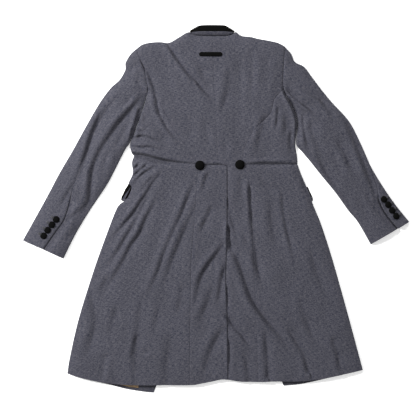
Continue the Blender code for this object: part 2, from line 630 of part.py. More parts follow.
def at_armhole(points, turn, along):
    """First row of a sleeve: the armhole's points and the turn, clear of the body by a seam."""
    return np.array([*points, turn], float) + along * SEAM


def build_sleeve(side, outer_line, inner_line, seam_line, armhole, underarm, folds, cloth):
    """Two-piece sleeve: the top and the under sleeve, each folded round one edge."""
    shares = np.linspace(0, 1, SLEEVE_ROWS + 1)
    outer, inner, seam = (spaced(line, shares) for line in (outer_line, inner_line, seam_line))
    arm = armhole_points(armhole, underarm)
    top = sleeve_top(outer_line, inner_line, folds)
    along = (outer[1] + inner[1]) / 2 - (outer[0] + inner[0]) / 2
    along = along / np.linalg.norm(along)
    middle = ARMHOLE_ROWS // 2 + 1
    outer[0], inner[0], seam[0] = arm[0], arm[-1], arm[ARMHOLE_ROWS]
    under = outer + UNDER_SHARE * (inner - outer)
    under[0] = arm[middle]

    lap = CUFF_LAP * ease((shares - CUFF_VENT_FROM) / CUFF_LAP_RUN)
    drop = CUFF_DROP * ease((shares - CUFF_VENT_FROM + CUFF_DROP_BEFORE) / CUFF_DROP_RUN)

    turn = moved_in(outer, seam, EDGE_DEPTH)
    turn[0] = moved_in(arm[:1], arm[1:2], EDGE_DEPTH)[0]
    upper_zero = at_armhole(arm[ARMHOLE_ROWS:0:-1], turn[0], along)
    lower_zero = at_armhole(arm[1:middle + 1][::-1], turn[0], along)[::-1]
    edge = outer.copy()
    edge[0] = edge[0] + along * SEAM
    top_seam = moved_in(seam, outer, SEAM / 2)
    top_under = moved_in(under, outer, SEAM / 2)
    top_seam[0], turn[0], top_under[0] = upper_zero[0], upper_zero[-1], lower_zero[-1]
    cuff_upper = straight(top_seam[-1], turn[-1], len(upper_zero) - 1)
    cuff_lower = straight(turn[-1], top_under[-1], len(lower_zero) - 1)
    upper = blend(top_seam, turn, upper_zero, cuff_upper, shares)
    lower = blend(turn, top_under, lower_zero, cuff_lower, shares)
    heights = top(upper[..., 0], upper[..., 1]), flat(lower[..., 0], lower[..., 1])
    folded(f"top_sleeve_{side}", upper, lower, edge, heights, cloth)

    turn = moved_in(inner, seam, EDGE_DEPTH)
    turn[0] = moved_in(arm[-1:], arm[-2:-1], EDGE_DEPTH)[0]
    halves = [arm[ARMHOLE_ROWS]]
    for before, after in zip(arm[ARMHOLE_ROWS:], arm[ARMHOLE_ROWS + 1:]):
        halves += [(before + after) / 2, after]
    upper_zero = at_armhole(halves[:-1], turn[0], along)
    lower_zero = at_armhole(arm[middle:-1], turn[0], along)[::-1]
    edge = inner.copy()
    edge[0] = edge[0] + along * SEAM
    out = outer - seam
    out[0] = (0, 1)
    out = out / np.linalg.norm(out, axis=1, keepdims=True)
    under_seam = moved_in(seam, inner, SEAM / 2) + out * lap[:, None]
    under_low = moved_in(under, inner, SEAM / 2)
    under_seam[0], turn[0], under_low[0] = upper_zero[0], upper_zero[-1], lower_zero[-1]
    cuff_upper = straight(under_seam[-1], turn[-1], len(upper_zero) - 1)
    cuff_lower = straight(turn[-1], under_low[-1], len(lower_zero) - 1)
    upper = blend(under_seam, turn, upper_zero, cuff_upper, shares)
    lower = blend(turn, under_low, lower_zero, cuff_lower, shares)
    past_seam = np.linalg.norm(upper - upper[:, :1], axis=-1) - lap[:, None]
    dropped = drop[:, None] * ease((CUFF_DROP_REACH - past_seam) / CUFF_DROP_FADE)
    upper_z = top(upper[..., 0], upper[..., 1]) - dropped
    upper_z = keep_above(upper_z, LOWEST_TOP - SLEEVE_SINK)
    heights = upper_z, flat(lower[..., 0], lower[..., 1])
    folded(f"under_sleeve_{side}", upper, lower, edge, heights, cloth)
    return top


def build_collar(cloth, velvet):
    """Collar roll in velvet, with a strip of the jacket's cloth along its outer edge."""
    shares = np.linspace(0, 1, COLLAR_STEPS)
    seam, roll, inside = (spaced(line, shares) for line in (COLLAR_SEAM, COLLAR_ROLL, COLLAR_INSIDE))
    turn = moved_in(roll, seam, COLLAR_ROLL_DEPTH)
    upper = blend(seam, turn, straight(seam[0], turn[0], 2), straight(seam[-1], turn[-1], 2), shares)
    lower = blend(turn, inside, straight(turn[0], inside[0], 2),
                  straight(turn[-1], inside[-1], 2), shares)
    ends = ease(np.minimum(shares, 1 - shares) / 0.2)[:, None]
    upper_z = COLLAR_TOP + COLLAR_RISE * (ends * np.array([0.85, 1.0, 0.9]) - 1)
    heights = upper_z, flat(lower[..., 0], lower[..., 1])
    folded("collar_velvet", upper, lower, roll, heights, velvet)

    x = np.linspace(*COLLAR_STRIP, COLLAR_STEPS)
    neck = np.vstack([TOP_LEFT[::-1], TOP_RIGHT[1:]]).astype(float)
    low = np.column_stack([x, np.interp(x, neck[:, 0], neck[:, 1]) + 2 * SEAM])
    high = np.column_stack([x, level(COLLAR_SEAM, x) - 2 * SEAM])
    plan = blend(low, high, straight(low[0], high[0], 2), straight(low[-1], high[-1], 2), shares)
    low_z = body_top(low[:, 0], low[:, 1] - EDGE_DEPTH)[:, None] + STRIP_RAISE
    z = low_z + (upper_z[:, :1] - low_z) * np.array([0.0, 0.6, 1.0])
    wall("collar_edge", with_height(plan, z), with_height(plan, z - WALL), cloth)


def build_loop(velvet):
    """Hanging loop: a short strap that stands off the cloth between its ends."""
    x, y = LOOP_MIDDLE
    run = LOOP_LENGTH / 2 * np.array([-1, -0.97, -0.88, -0.5, 0, 0.5, 0.88, 0.97, 1])
    past = np.maximum(0, np.abs(run) - (LOOP_LENGTH - LOOP_WIDTH) / 2) / (LOOP_WIDTH / 2)
    half = LOOP_WIDTH / 2 * np.sqrt(np.maximum(1 - past**2, 0.12))
    ends = [seat(body_top, x + reach, y, LOOP_WIDTH * 0.75)[0] for reach in (run[1], run[-2])]
    middle = seat(body_top, x, y, LOOP_LENGTH / 2)[0]
    height = np.interp(run, (run[0], 0, run[-1]), (ends[0], middle, ends[1]))
    height = np.maximum(height, min(ends)) + LOOP_ARCH * (1 - (run / run[-1])**2)
    across_loop = np.array([-1.0, 0.0, 1.0])
    plan = np.stack([np.repeat((x + run)[:, None], 3, axis=1), y + half[:, None] * across_loop], -1)
    z = np.repeat(height[:, None], 3, axis=1)
    wall("hanging_loop", with_height(plan, z + LOOP_WALL), with_height(plan, z), velvet)


def build():
    for old in list(bpy.data.objects):
        bpy.data.objects.remove(old, do_unlink=True)
    cloth = material("wool", (0.088, 0.088, 0.108), 0.85, 0.3)
    velvet = material("velvet", (0.006, 0.006, 0.006), 0.9, 0.6)
    lining = material("lining", (0.16, 0.11, 0.06), 0.45)

    build_back("left", TOP_LEFT, ARMHOLE_LEFT, SIDE_BACK_LEFT, cloth)
    build_back("right", TOP_RIGHT, ARMHOLE_RIGHT, SIDE_BACK_RIGHT, cloth)
    centre, upper, lower = WAIST_CHORDS["left"]
    waist_left = waist_chords(SIDE_BACK_LEFT[-1][0], WAIST[0][0] + EDGE_DEPTH, centre, upper, lower)
    centre, upper, lower = WAIST_CHORDS["right"]
    waist_right = waist_chords(SIDE_BACK_RIGHT[-1][0], WAIST[-1][0] - EDGE_DEPTH, centre, upper, lower)
    build_skirt("left", SKIRT_EDGE_LEFT, BACK_SEAM_LEFT, FRONT_EDGE_LEFT, HEM_FRONT_LEFT,
                SKIRT_COLUMNS["left"], waist_left, FLAP_LEFT, cloth)
    build_skirt("right", SKIRT_EDGE_RIGHT, BACK_SEAM_RIGHT, FRONT_EDGE_RIGHT, HEM_FRONT_RIGHT,
                SKIRT_COLUMNS["right"], waist_right, FLAP_RIGHT, cloth)
    left = side_lines(SIDE_BACK_LEFT, UNDERARM_LEFT, SIDE_EDGE_LEFT, UNDER_SEAM_LEFT)
    right = side_lines(SIDE_BACK_RIGHT, UNDERARM_RIGHT, SIDE_EDGE_RIGHT, UNDER_SEAM_RIGHT)
    build_side("left", left, SIDE_COLUMNS["left"], waist_left, cloth)
    build_side("right", right, SIDE_COLUMNS["right"], waist_right, cloth)
    build_front("left", TOP_LEFT, ARMHOLE_LEFT, UNDER_SEAM_LEFT, FRONT_NECK_LEFT, waist_left, cloth)
    build_front("right", TOP_RIGHT, ARMHOLE_RIGHT, UNDER_SEAM_RIGHT, FRONT_NECK_RIGHT,
                waist_right, cloth)
    build_back_skirts(cloth)
    tops = {
        "left": build_sleeve("left", SLEEVE_OUTER_LEFT, SLEEVE_INNER_LEFT, SLEEVE_SEAM_LEFT,
                             ARMHOLE_LEFT, UNDERARM_LEFT, SLEEVE_FOLDS_LEFT, cloth),
        "right": build_sleeve("right", SLEEVE_OUTER_RIGHT, SLEEVE_INNER_RIGHT, SLEEVE_SEAM_RIGHT,
                              ARMHOLE_RIGHT, UNDERARM_RIGHT, SLEEVE_FOLDS_RIGHT, cloth),
    }
    build_collar(cloth, velvet)
    build_loop(velvet)
    for side, x, y in HIP_BUTTONS:
        button(f"hip_button_{side}", body_top, x, y, HIP_BUTTON_DIAMETER, HIP_BUTTON_HEIGHT, velvet)
    for side, number, x, y in CUFF_BUTTONS:
        button(f"cuff_button_{side}_{number}", tops[side], x, y, CUFF_BUTTON_DIAMETER,
               CUFF_BUTTON_HEIGHT, velvet)
    plate("flap_left", FLAP_LEFT, 0.0, FLAP_WALL, velvet)
    plate("flap_edge_left", FLAP_EDGE_LEFT, 0.0, FLAP_WALL, cloth)
    plate("flap_right", FLAP_RIGHT, 0.0, FLAP_WALL, velvet)
    plate("flap_edge_right", FLAP_EDGE_RIGHT, 0.0, FLAP_WALL, cloth)
    plate("lining_left", LINING_LEFT, WALL + SEAM, LINING_WALL, lining)


build()
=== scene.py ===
"""Looks of a long jacket that lies flat on its front, with its back up.

Each piece of cloth follows the outline of its solid with a finer grid, its creases and its seams.
Outlines and creases are in millimetres, and the finished pieces are in metres.
"""
import math

import bmesh
import bpy
import numpy as np
from mathutils import Matrix, Vector, noise


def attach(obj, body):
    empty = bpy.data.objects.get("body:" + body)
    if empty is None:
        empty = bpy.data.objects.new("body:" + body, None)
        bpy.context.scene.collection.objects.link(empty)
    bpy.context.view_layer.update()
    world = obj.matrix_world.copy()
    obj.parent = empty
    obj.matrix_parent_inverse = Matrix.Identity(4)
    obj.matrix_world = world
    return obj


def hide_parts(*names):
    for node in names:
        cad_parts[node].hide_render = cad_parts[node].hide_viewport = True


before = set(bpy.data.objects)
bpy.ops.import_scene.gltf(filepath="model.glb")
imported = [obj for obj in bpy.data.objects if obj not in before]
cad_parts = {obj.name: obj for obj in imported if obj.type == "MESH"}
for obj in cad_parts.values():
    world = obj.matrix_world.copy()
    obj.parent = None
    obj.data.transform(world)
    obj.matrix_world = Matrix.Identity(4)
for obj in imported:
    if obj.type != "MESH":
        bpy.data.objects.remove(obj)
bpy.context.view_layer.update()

bl_info = {
    "name": "Long jacket, laid flat",
    "version": (1, 0, 0),
    "blender": (4, 5, 0),
    "location": "3D View > Sidebar > Jacket",
    "description": "Cloth, velvet trim and studio of a long jacket that lies on its front",
    "category": "Object",
}

MM = 0.001
PIXEL = 2.8             # width that one of the photo's pixels shows
PHOTO_WIDTH = 416 * PIXEL
PHOTO_MIDDLE = (-8 * PIXEL, PIXEL)

# heights of the cloth
SEAM = 0.02             # between two pieces at a seam
EDGE_TOP = 6.6
EDGE_DEPTH = 3.4
LOWEST_TOP = 4.6
BODY_TOP = 13.0
SLEEVE_TOP = 15.0
SIDE_ROUND = 20.0
SHOULDER_ROUND = 9.0
SLEEVE_ROUND = 17.0
COLLAR_TOP = 15.0
REST = 0.35             # gap under a piece that lies on the cloth
CRUMPLE = 1.3           # height of the cloth's own unevenness
CRUMPLE_SIZE = 55.0
FINE_CRUMPLE = 0.35
DRAPE = 1.3 * CRUMPLE   # height of the slow waves
SLEEVE_CRUMPLE_SIZE = CRUMPLE_SIZE * 0.7
SLEEVE_FINE = 0.4
SLEEVE_FINE_SIZE = 16
UNDER_CREASE = 1.1      # height of the creases on the side that rests
SKIRT_LOWEST = 2.6      # of the right back skirt, under the left one

# slow waves: the skirt's fan out from a point on the centre line, above the collar
FAN_CENTRE = 900.0
FAN_WAVES = 22
FAN_LENGTH = 190
BODICE_WAVE = (42, 85)
BODICE_FROM = 80        # y where the bodice's waves begin to take over
BODICE_BLEND = 90

# form of a crease: shares of its length, its half width and its bank
CREASE_STARTS = 0.26
CREASE_ENDS = 0.42
CREASE_UNEVEN = 0.25
CREASE_WAVES = 11       # of that unevenness along a crease
CREASE_PHASE = 2.4      # and its step from one crease to the next
CREASE_STEEP = 0.8      # width on the side of the ridge
CREASE_GENTLE = 1.3     # width on the other side
CREASE_SHARP = 0.95
CREASE_BROAD = 2.4
RIDGE_HEIGHT = 1.25
RIDGE_AWAY = 2.0
RIDGE_WIDTH = 1.7
CREASE_REACH = 6        # half widths beyond which a crease isn't felt
SEAM_REACH = 4
UNDER_REACH = 3
UNDER_FADE = 0.3

# grids and walls
CLOSE_ROWS = (0.8, 2.0)         # rows close to both ends of a grid
BACK_WIDTH_SHARE = 0.8          # width of the back as a share of its top line
TURN_ANGLES = (68, 45, 22, 0, -22, -45, -68)    # round a folded edge, from top to bottom
SHARP_ANGLE = 50
PLATE_BEVEL = 0.35              # as a share of the plate's thickness
SEAT_RINGS = (0.35, 0.75, 1.0)  # shares of the radius where a button's seat is felt
SEAT_POINTS = 24
SEAT_PERCENTILE = 80            # share of those places that the seat clears
BUTTON_STEPS = 40

NECK_SHARE = 1 / 3      # of the centre-back line, level with the armhole's lower end
UNDERARM_SHARE = 2 / 11
SIDE_START = 0.002
UNDER_SHARE = 0.47      # where the under seam runs, between the sleeve's two edges
UNDER_START = 0.625     # of the armhole, where that seam starts
VENT_UNDERLAP = 42.0
VENT_STEP = 2.4         # down to the right skirt, at the vent's edge
VENT_RISE = 17          # width over which the right skirt comes up again
VENT_LIP = (0.9, 2.4)   # further down right beside the edge, and how far that reaches
VENT_ROLL = 0.5
EDGE_ROLL = 1.6         # width over which a free edge rolls down
CUFF_LAP = 15.0
CUFF_DROP = 3.2
CUFF_VENT_FROM = 0.79   # share of the sleeve's length
CUFF_DROP_FROM = 0.65
LAP_FADE, DROP_FADE, PIPING_FADE = 0.04, 0.08, 0.05
CUFF_DROP_WIDTH = 16    # over which the under sleeve comes up again
CUFF_ROLL = 0.9
PIPING_AWAY = 2.6
PIPING_WIDTH = 1.8
PIPING_GROOVE = 3.4     # depth beside the piping, as a share of its height
GROOVE_AWAY, GROOVE_WIDTH = 0.5, 3.2
ARMHOLE_DIP = (2.6, (1.4, 1.8, 2.2, 2.2))
FLAP_WALL = 1.7
FLAP_SHARE = 0.62       # of that, the velvet under its strip of cloth
FLAP_SPREAD = 46.0
FLAP_FADE = 40.0
LINING_WALL = 1.0
LOOP_THICKNESS = 2.0
LOOP_ARCH = 1.6
LOOP_RIM = 0.25         # thickness at its sides, as a share
LOOP_END = 0.3          # thickness at its ends, as a share
LOOP_CRUMPLE = (0.15, 7)        # height and size
LOOP_ROWS, LOOP_COLUMNS = 41, 13
HIP_BUTTON_HEIGHT = 7.5
CUFF_BUTTON_HEIGHT = 5.5

# usual widths of the upper and the lower layer, which set how many columns a grid has
SIDE_WIDTHS = (150, 65)
FRONT_LENGTH, FRONT_WIDTH = 330, 190
SKIRT_WIDTHS = (270, 240)
BACK_SKIRT_WIDTHS = (95, 115)
TOP_SLEEVE_WIDTHS = (75, 60)
UNDER_SLEEVE_WIDTHS = (85, 65)

# top line of the back: x, y
TOP_LEFT = ((-8, 487), (-34, 487), (-57, 488.5), (-77, 496), (-103, 482), (-131, 466.5),
            (-157, 468), (-184, 466.5), (-206, 461), (-221, 451))
TOP_RIGHT = ((-8, 487), (16, 487), (38, 488), (55, 495.5), (70, 485.5), (97, 482.5),
             (117, 477.5), (142, 473), (168, 467.5), (183, 461.5), (194, 454))

# lines on the plan, from top to hem or from neck to cuff: x, y
CENTRE_BACK = ((-8, 487), (-7, 416), (-3, 304), (3, 206), (8, 124))
ARMHOLE_LEFT = ((-221, 451), (-217, 430), (-210, 410), (-199, 382), (-193, 349))
UNDERARM_LEFT = ((-193, 349), (-193, 335), (-194.6, 319))
ARMHOLE_RIGHT = ((194, 454), (191, 425), (188.5, 380), (188, 350), (190, 337))
UNDERARM_RIGHT = ((190, 337), (193.5, 327), (197.6, 319))
SIDE_BACK_LEFT = ((-193, 349), (-155, 293), (-127, 242), (-97, 195), (-69, 160), (-50, 125))
SIDE_BACK_RIGHT = ((190, 337), (164, 307), (156, 274), (138, 252), (116, 231), (97, 206),
                   (80, 169), (71, 124))
SIDE_EDGE_LEFT = ((-194.5, 318), (-200.5, 295), (-208, 273), (-214.5, 253), (-221, 235), (-228, 213),
                  (-237, 197), (-241.5, 180), (-237, 158), (-230, 149))
SIDE_EDGE_RIGHT = ((197.5, 318), (207, 301), (219, 276), (226.5, 248), (227, 225), (223, 183),
                   (225, 163), (228, 145), (229, 125))
UNDER_SEAM_LEFT = ((-193, 349), (-166, 312), (-152, 250), (-160, 190), (-180, 145))
UNDER_SEAM_RIGHT = ((190, 337), (166, 305), (156, 250), (162, 190), (182, 125))
WAIST = ((-230, 149), (-206, 152), (-171, 143), (-140, 136), (-88, 129), (-46, 125), (8, 124),
         (66, 124), (122, 123), (181, 125), (229, 125))
SKIRT_EDGE_LEFT = ((-230, 149), (-236, 130), (-233, 103), (-240, 84), (-245.5, 72.5), (-241, 68),
                   (-237, 62), (-238, 53), (-243, 41), (-249, 30), (-256, 22), (-264, 18), (-271, 12),
                   (-281, -4), (-307, -71), (-343, -172), (-385, -307), (-410, -416), (-417, -461))
SKIRT_EDGE_RIGHT = ((229, 125), (239, 97), (250, 72), (266, 35), (272, 13), (297, -49),
                    (326, -139), (357, -248), (383, -343), (412, -451))
BACK_SEAM_LEFT = ((-49, 125), (-56, 24), (-65, -99), (-70, -186), (-74, -493))
BACK_SEAM_RIGHT = ((71, 124), (91, 80), (97, 24), (104, -102), (110, -240), (119, -484))
VENT = ((21, 124), (26.5, 120), (29.5, 112), (30, 24), (29, -74), (26, -200), (30, -310), (32, -477))
HEM_BACK = ((-417, -461), (-382, -472), (-323, -485), (-239, -493), (-164, -493), (-74, -493),
            (-43, -489), (-7, -482), (21, -477), (69, -483), (119, -484), (172, -483),
            (237, -482), (295, -476), (349, -465), (412, -451))
HEM_FRONT_LEFT = ((-417, -461), (-351, -481), (-298, -493), (-251, -505), (-200, -513), (-175, -515))
HEM_FRONT_RIGHT = ((412, -451), (349, -466), (292, -480), (240, -491), (190, -496))
FRONT_EDGE_LEFT = ((7, 124), (-8, 40), (-45, -100), (-95, -270), (-150, -450), (-175, -515))
FRONT_EDGE_RIGHT = ((9, 124), (24, 40), (62, -100), (112, -270), (165, -435), (190, -496))
FRONT_TOP_LEFT = ((7.85, 456), (-40, 463), (-68, 476), (-83, 492), *TOP_LEFT[4:])
FRONT_TOP_RIGHT = ((8.15, 456), (30, 463), (50, 476), (61, 491), *TOP_RIGHT[4:])

SLEEVE_OUTER_LEFT = ((-221, 451), (-239, 435), (-254, 410), (-254, 392), (-270, 363),
                     (-295, 340), (-326, 298), (-365, 231), (-402, 164), (-441, 97),
                     (-477, 29), (-542, -88))
SLEEVE_INNER_LEFT = ((-194.8, 318), (-200.8, 295), (-208.3, 273), (-214.8, 253), (-221.3, 235),
                     (-228.4, 213), (-237.6, 196), (-244, 181), (-256, 164), (-290, 97),
                     (-309, 63), (-354, -4), (-393, -69), (-428, -139))
SLEEVE_SEAM_LEFT = ((-193, 349), (-251, 323), (-295, 284), (-332, 234), (-354, 183),
                    (-388, 94), (-405, 41), (-424, -25), (-449, -63), (-483, -113))
SLEEVE_OUTER_RIGHT = ((194, 454), (211, 435), (222, 412), (247, 399), (273, 365), (298, 332),
                      (326, 298), (374, 245), (407, 181), (438, 113), (491, 29), (542, -36))
SLEEVE_INNER_RIGHT = ((197.8, 318), (207.3, 301.2), (219.3, 276.2), (226.8, 248), (227.3, 225),
                      (225, 200), (224.6, 184), (229.5, 173), (241, 161), (267, 130), (293, 97),
                      (335, 46), (371, -4), (399, -38), (434, -99))
SLEEVE_SEAM_RIGHT = ((190, 337), (237, 352), (298, 309), (363, 242), (400, 189), (428, 133),
                     (450, 66), (458, 24), (468, 1), (482, -21), (495, -38), (510, -55))

COLLAR_SEAM = ((-72, 495.6), (-50, 497), (-8, 497), (30, 497), (50, 495.2))
COLLAR_ROLL = ((-74, 499.6), (-60, 508), (-46, 514.2), (-30, 515.6), (10, 515.6), (27, 514),
               (40, 506), (52, 499))
COLLAR_INSIDE = ((-67, 490), (-40, 483), (-8, 480), (24, 483), (46, 490))
COLLAR_STRIP = (-68, 47)
COLLAR_GRID = 3.0
COLLAR_DEPTH = 5.0      # from the roll to where the velvet turns
COLLAR_ENDS = 0.2       # share of the length over which the collar rises
COLLAR_LIFT = 4.0
COLLAR_CRUMPLE = (0.3, 14)      # height and size
# the roll's crown, as shares of that lift: its level, its swell, and the dip into the seam
CROWN = 0.88
CROWN_SWELL = 0.14
CROWN_DIP, CROWN_DIP_REACH = 0.22, 0.06
STRIP_START = 8.4       # height of the strip at the neck
STRIP_RISE = 3.4
STRIP_SWELL = 0.6       # how much higher it starts at the middle of the neck
STRIP_CURVE = 0.75
STRIP_DIP, STRIP_DIP_REACH = 0.8, 0.08      # down into its seam with the velvet
STRIP_COLUMNS = (0.0, 0.08, 0.2, 0.4, 0.6, 0.8, 0.92, 1.0)      # from the neck to the velvet
VELVET_COLUMNS = (0.0, 0.06, 0.16, 0.35, 0.6, 0.85, 1.0)        # from the strip to the roll

# creases: points, half width, depth, bank, open at the hem. The bank is the ridge beside the
# crease: to its left for a positive height, looking along the points, and to its right for a
# negative one.
BODICE_CREASES = (
    (((-155, 491), (-133, 458), (-122, 441), (-108, 421), (-83, 388), (-60, 365), (-38, 337),
      (-15, 315), (15, 281)), 4.4, 6.6, -3.8, 0),
    (((-99, 405), (-83, 382), (-66, 357), (-49, 326)), 5, 3, -1.6, 0),
    (((-46, 410), (-38, 382), (-27, 354), (-13, 321)), 9, 3.2, -1.6, 0),
    (((35, 405), (38, 371), (35, 337), (24, 293), (13, 242)), 9, 3.2, -1.8, 0),
    (((99, 466), (105, 388), (99, 326), (97, 270)), 7, 2, 1, 0),
    (((-217, 444), (-197, 396), (-183, 365), (-171, 332), (-164, 293), (-155, 265),
      (-136, 228), (-111, 197), (-66, 153)), 5, 4, -2.6, 0),
    (((-214, 421), (-203, 399), (-192, 379)), 4, 2.6, 1.2, 0),
    (((-195, 312), (-186, 284), (-172, 256)), 3.5, 3, 1.5, 0),
    (((-167, 309), (-161, 281), (-153, 248)), 4, 2.8, 1.4, 0),
    (((-161, 225), (-144, 206), (-122, 178)), 5, 2.6, 1, 0),
    (((-239, 197), (-206, 203), (-183, 197), (-155, 181)), 3.6, 4, 3, 0),
    (((-231, 223), (-209, 217), (-189, 217)), 4, 3, 1.5, 0),
    (((-245, 175), (-209, 172), (-183, 172), (-150, 161)), 3.6, 3.4, 2.4, 0),
    (((-217, 245), (-203, 231), (-183, 228)), 3.5, 2.2, 1, 0),
    (((-214, 281), (-218, 253), (-217, 231)), 4, 6, 3, 0),
    (((-228, 234), (-231, 214), (-232, 192)), 4, 6, 3, 0),
    (((175, 293), (172, 253), (168, 214)), 4, 3.4, -1.8, 0),
    (((189, 281), (197, 231), (195, 175)), 7, 3, -1.8, 0),
    (((144, 276), (125, 206), (113, 147)), 8, 2.6, -1.6, 0),
    (((108, 248), (102, 217), (105, 186)), 4, 1.4, 0.7, 0),
    (((217, 231), (209, 192), (214, 147)), 5, 2.8, -1.6, 0),
    (((-71, 270), (-69, 225), (-80, 178)), 11, 2, 0.8, 0),
    (((18, 206), (29, 172), (24, 141)), 8, 1.5, 0.7, 0),
    (((181, 354), (193, 326), (207, 301), (219, 276), (227, 248), (227, 220), (223, 169)),
     3.6, 6, -6.4, 0),
    (((-133, 382), (-122, 332), (-99, 276)), 9, 1.8, 0.9, 0),
    (((63, 416), (71, 349), (63, 281)), 8, 1.4, 0.7, 0),
    (((147, 438), (147, 382), (136, 326)), 8, 1.5, 0.8, 0),
    (((-35, 242), (-21, 197), (-24, 158)), 7, 1.4, 0.6, 0),
)
SKIRT_CREASES = (
    (((-301, 147), (-245, 151), (-220, 151), (-197, 148), (-175, 141), (-150, 135), (-99, 128)),
     4.8, 7, 7, 0),
    (((-245, 148), (-197, 147), (-155, 136), (-113, 130), (-71, 126), (-21, 123)), 3, 3.6, 2, 0),
    (((-301, 139), (-245, 144), (-220, 144), (-195, 140), (-167, 134), (-122, 127)), 4.5, 3.4, 0, 0),
    (((-55, 123), (-27, 123), (-4, 124), (14, 123), (25, 116), (29, 97)), 2.4, 3.4, 0.8, 0),
    (((63, 125), (119, 126), (158, 126), (197, 126), (253, 125)), 3.4, 4.4, 2.8, 0),
    (((108, 132), (147, 132), (192, 132), (228, 133)), 3, 1.6, 0.8, 0),
    (((-141, 116), (-161, 92), (-175, 74), (-188, 53), (-199, 36), (-211, 19), (-221, 2),
      (-237, -21), (-262, -50), (-312, -108)), 5, 4.8, -3.2, 0),
    (((-214, 128), (-225, 116), (-237, 102)), 3, 3.6, -2.4, 0),
    (((-189, 127), (-211, 109), (-223, 99), (-239, 83)), 3.2, 4.2, -2.8, 0),
    (((-161, 122), (-188, 109), (-206, 97), (-221, 82), (-238, 60)), 3.4, 3.8, -2.4, 0),
    (((-169, 99), (-195, 69), (-217, 35)), 4, 2.4, -1.6, 0),
    (((-178, 57), (-214, -13), (-228, -41), (-251, -80), (-270, -113), (-323, -186)),
     5.5, 3.6, -2.4, 0),
    (((-150, 57), (-178, 4), (-195, -27), (-214, -71), (-237, -102), (-256, -141),
      (-279, -181), (-332, -267)), 6, 4.4, -3.4, 0),
    (((-52, 97), (-77, 32), (-91, -4), (-111, -49), (-127, -83), (-147, -133), (-161, -175),
      (-206, -279)), 6, 4, -3, 0),
    (((-41, 52), (-71, -27), (-88, -63), (-108, -113), (-125, -155), (-164, -267)), 8.5, 3.8, -3, 0),
    (((-18, 108), (-29, 80), (-38, 46)), 5, 2.4, -1.6, 0),
    (((-7, 18), (-24, -24), (-49, -77)), 6, 3, -1.8, 0),
    (((38, -74), (4, -125), (-18, -153), (-38, -186), (-49, -223), (-63, -295)), 6, 4.2, -3, 0),
    (((29, -144), (15, -209), (4, -279)), 5.5, 3.4, -2.4, 0),
    (((1, -206), (-24, -267), (-52, -340)), 8, 3, -2, 0),
    (((29, -318), (-4, -379), (-21, -419), (-41, -486)), 9, 4, -2.4, 0),
    (((-360, -206), (-343, -265), (-337, -318), (-349, -374), (-374, -441)), 10, 4.2, -2.2, 0),
    (((-290, -172), (-312, -209), (-329, -248)), 6, 2.6, -1.4, 0),
    (((-220, -343), (-228, -385), (-237, -427)), 5, 2.6, -1.4, 0),
    (((-206, -228), (-214, -307), (-223, -402), (-228, -491)), 8, 2.4, -1.2, 1),
    (((-178, -396), (-195, -402), (-214, -416)), 5, 1.8, 0.8, 0),
    (((-304, -402), (-312, -435), (-315, -469)), 6, 2.6, 1.2, 1),
    (((-122, -340), (-133, -402), (-141, -491)), 10, 2.6, -1.2, 1),
    (((-273, -256), (-287, -318), (-301, -368)), 9, 2.2, -1.2, 0),
    (((-88, -200), (-99, -256), (-108, -312)), 8, 2, -1, 0),
    (((-155, -256), (-167, -318), (-178, -368)), 8, 1.8, -0.9, 0),
    (((-18, -458), (-10, -477), (4, -491)), 6, 1.6, 0.7, 0),
    (((29, -71), (49, -116), (66, -153), (83, -203), (99, -248), (125, -287), (150, -318),
      (178, -351), (209, -388), (248, -427)), 7, 9, -4.6, 0),
    (((189, -318), (225, -371), (245, -405), (259, -452)), 6, 4, -2.4, 1),
    (((18, -290), (49, -326), (69, -349), (105, -393)), 4.5, 6.4, -3.4, 0),
    (((35, 18), (46, -35), (66, -94)), 6, 3.2, -1.8, 0),
    (((94, 85), (97, 18), (102, -49)), 4.5, 5.4, -3.2, 0),
    (((97, 13), (108, -83), (116, -150), (136, -245)), 7, 4.4, -2.6, 0),
    (((136, -323), (144, -402), (147, -469)), 7, 4.2, -2.2, 1),
    (((237, 99), (259, 46), (287, -21)), 7, 3.2, -1.6, 0),
    (((183, 69), (192, -24), (209, -97), (231, -183)), 5, 3.2, -1.8, 0),
    (((259, -88), (287, -186), (326, -279)), 9, 2.8, -1.6, 0),
    (((321, -351), (340, -402), (349, -452)), 6, 3.4, -1.8, 1),
    (((119, 102), (147, 63), (189, 46)), 6, 2.2, 1.2, 0),
    (((71, 102), (69, 63), (77, 24)), 6, 1.8, -0.8, 0),
    (((231, -239), (256, -318), (293, -396)), 8, 2.8, -1.6, 0),
    (((150, 41), (158, -46), (175, -133)), 8, 2.4, -1.4, 0),
    (((74, -49), (102, -133), (133, -206)), 7, 2.6, -1.4, 0),
    (((77, -391), (88, -441), (91, -480)), 6, 2.8, -1.4, 1),
    (((33, -27), (33, -66), (33, -116)), 3, 0, -3.6, 0),
    (((32, -200), (32, -245), (33, -290)), 3, 0, -1.8, 0),
    (((35, -340), (36, -396), (38, -469)), 3, 0, -1.8, 0),
    (((279, 63), (298, 1), (323, -60)), 7, 2.6, -1.6, 0),
)
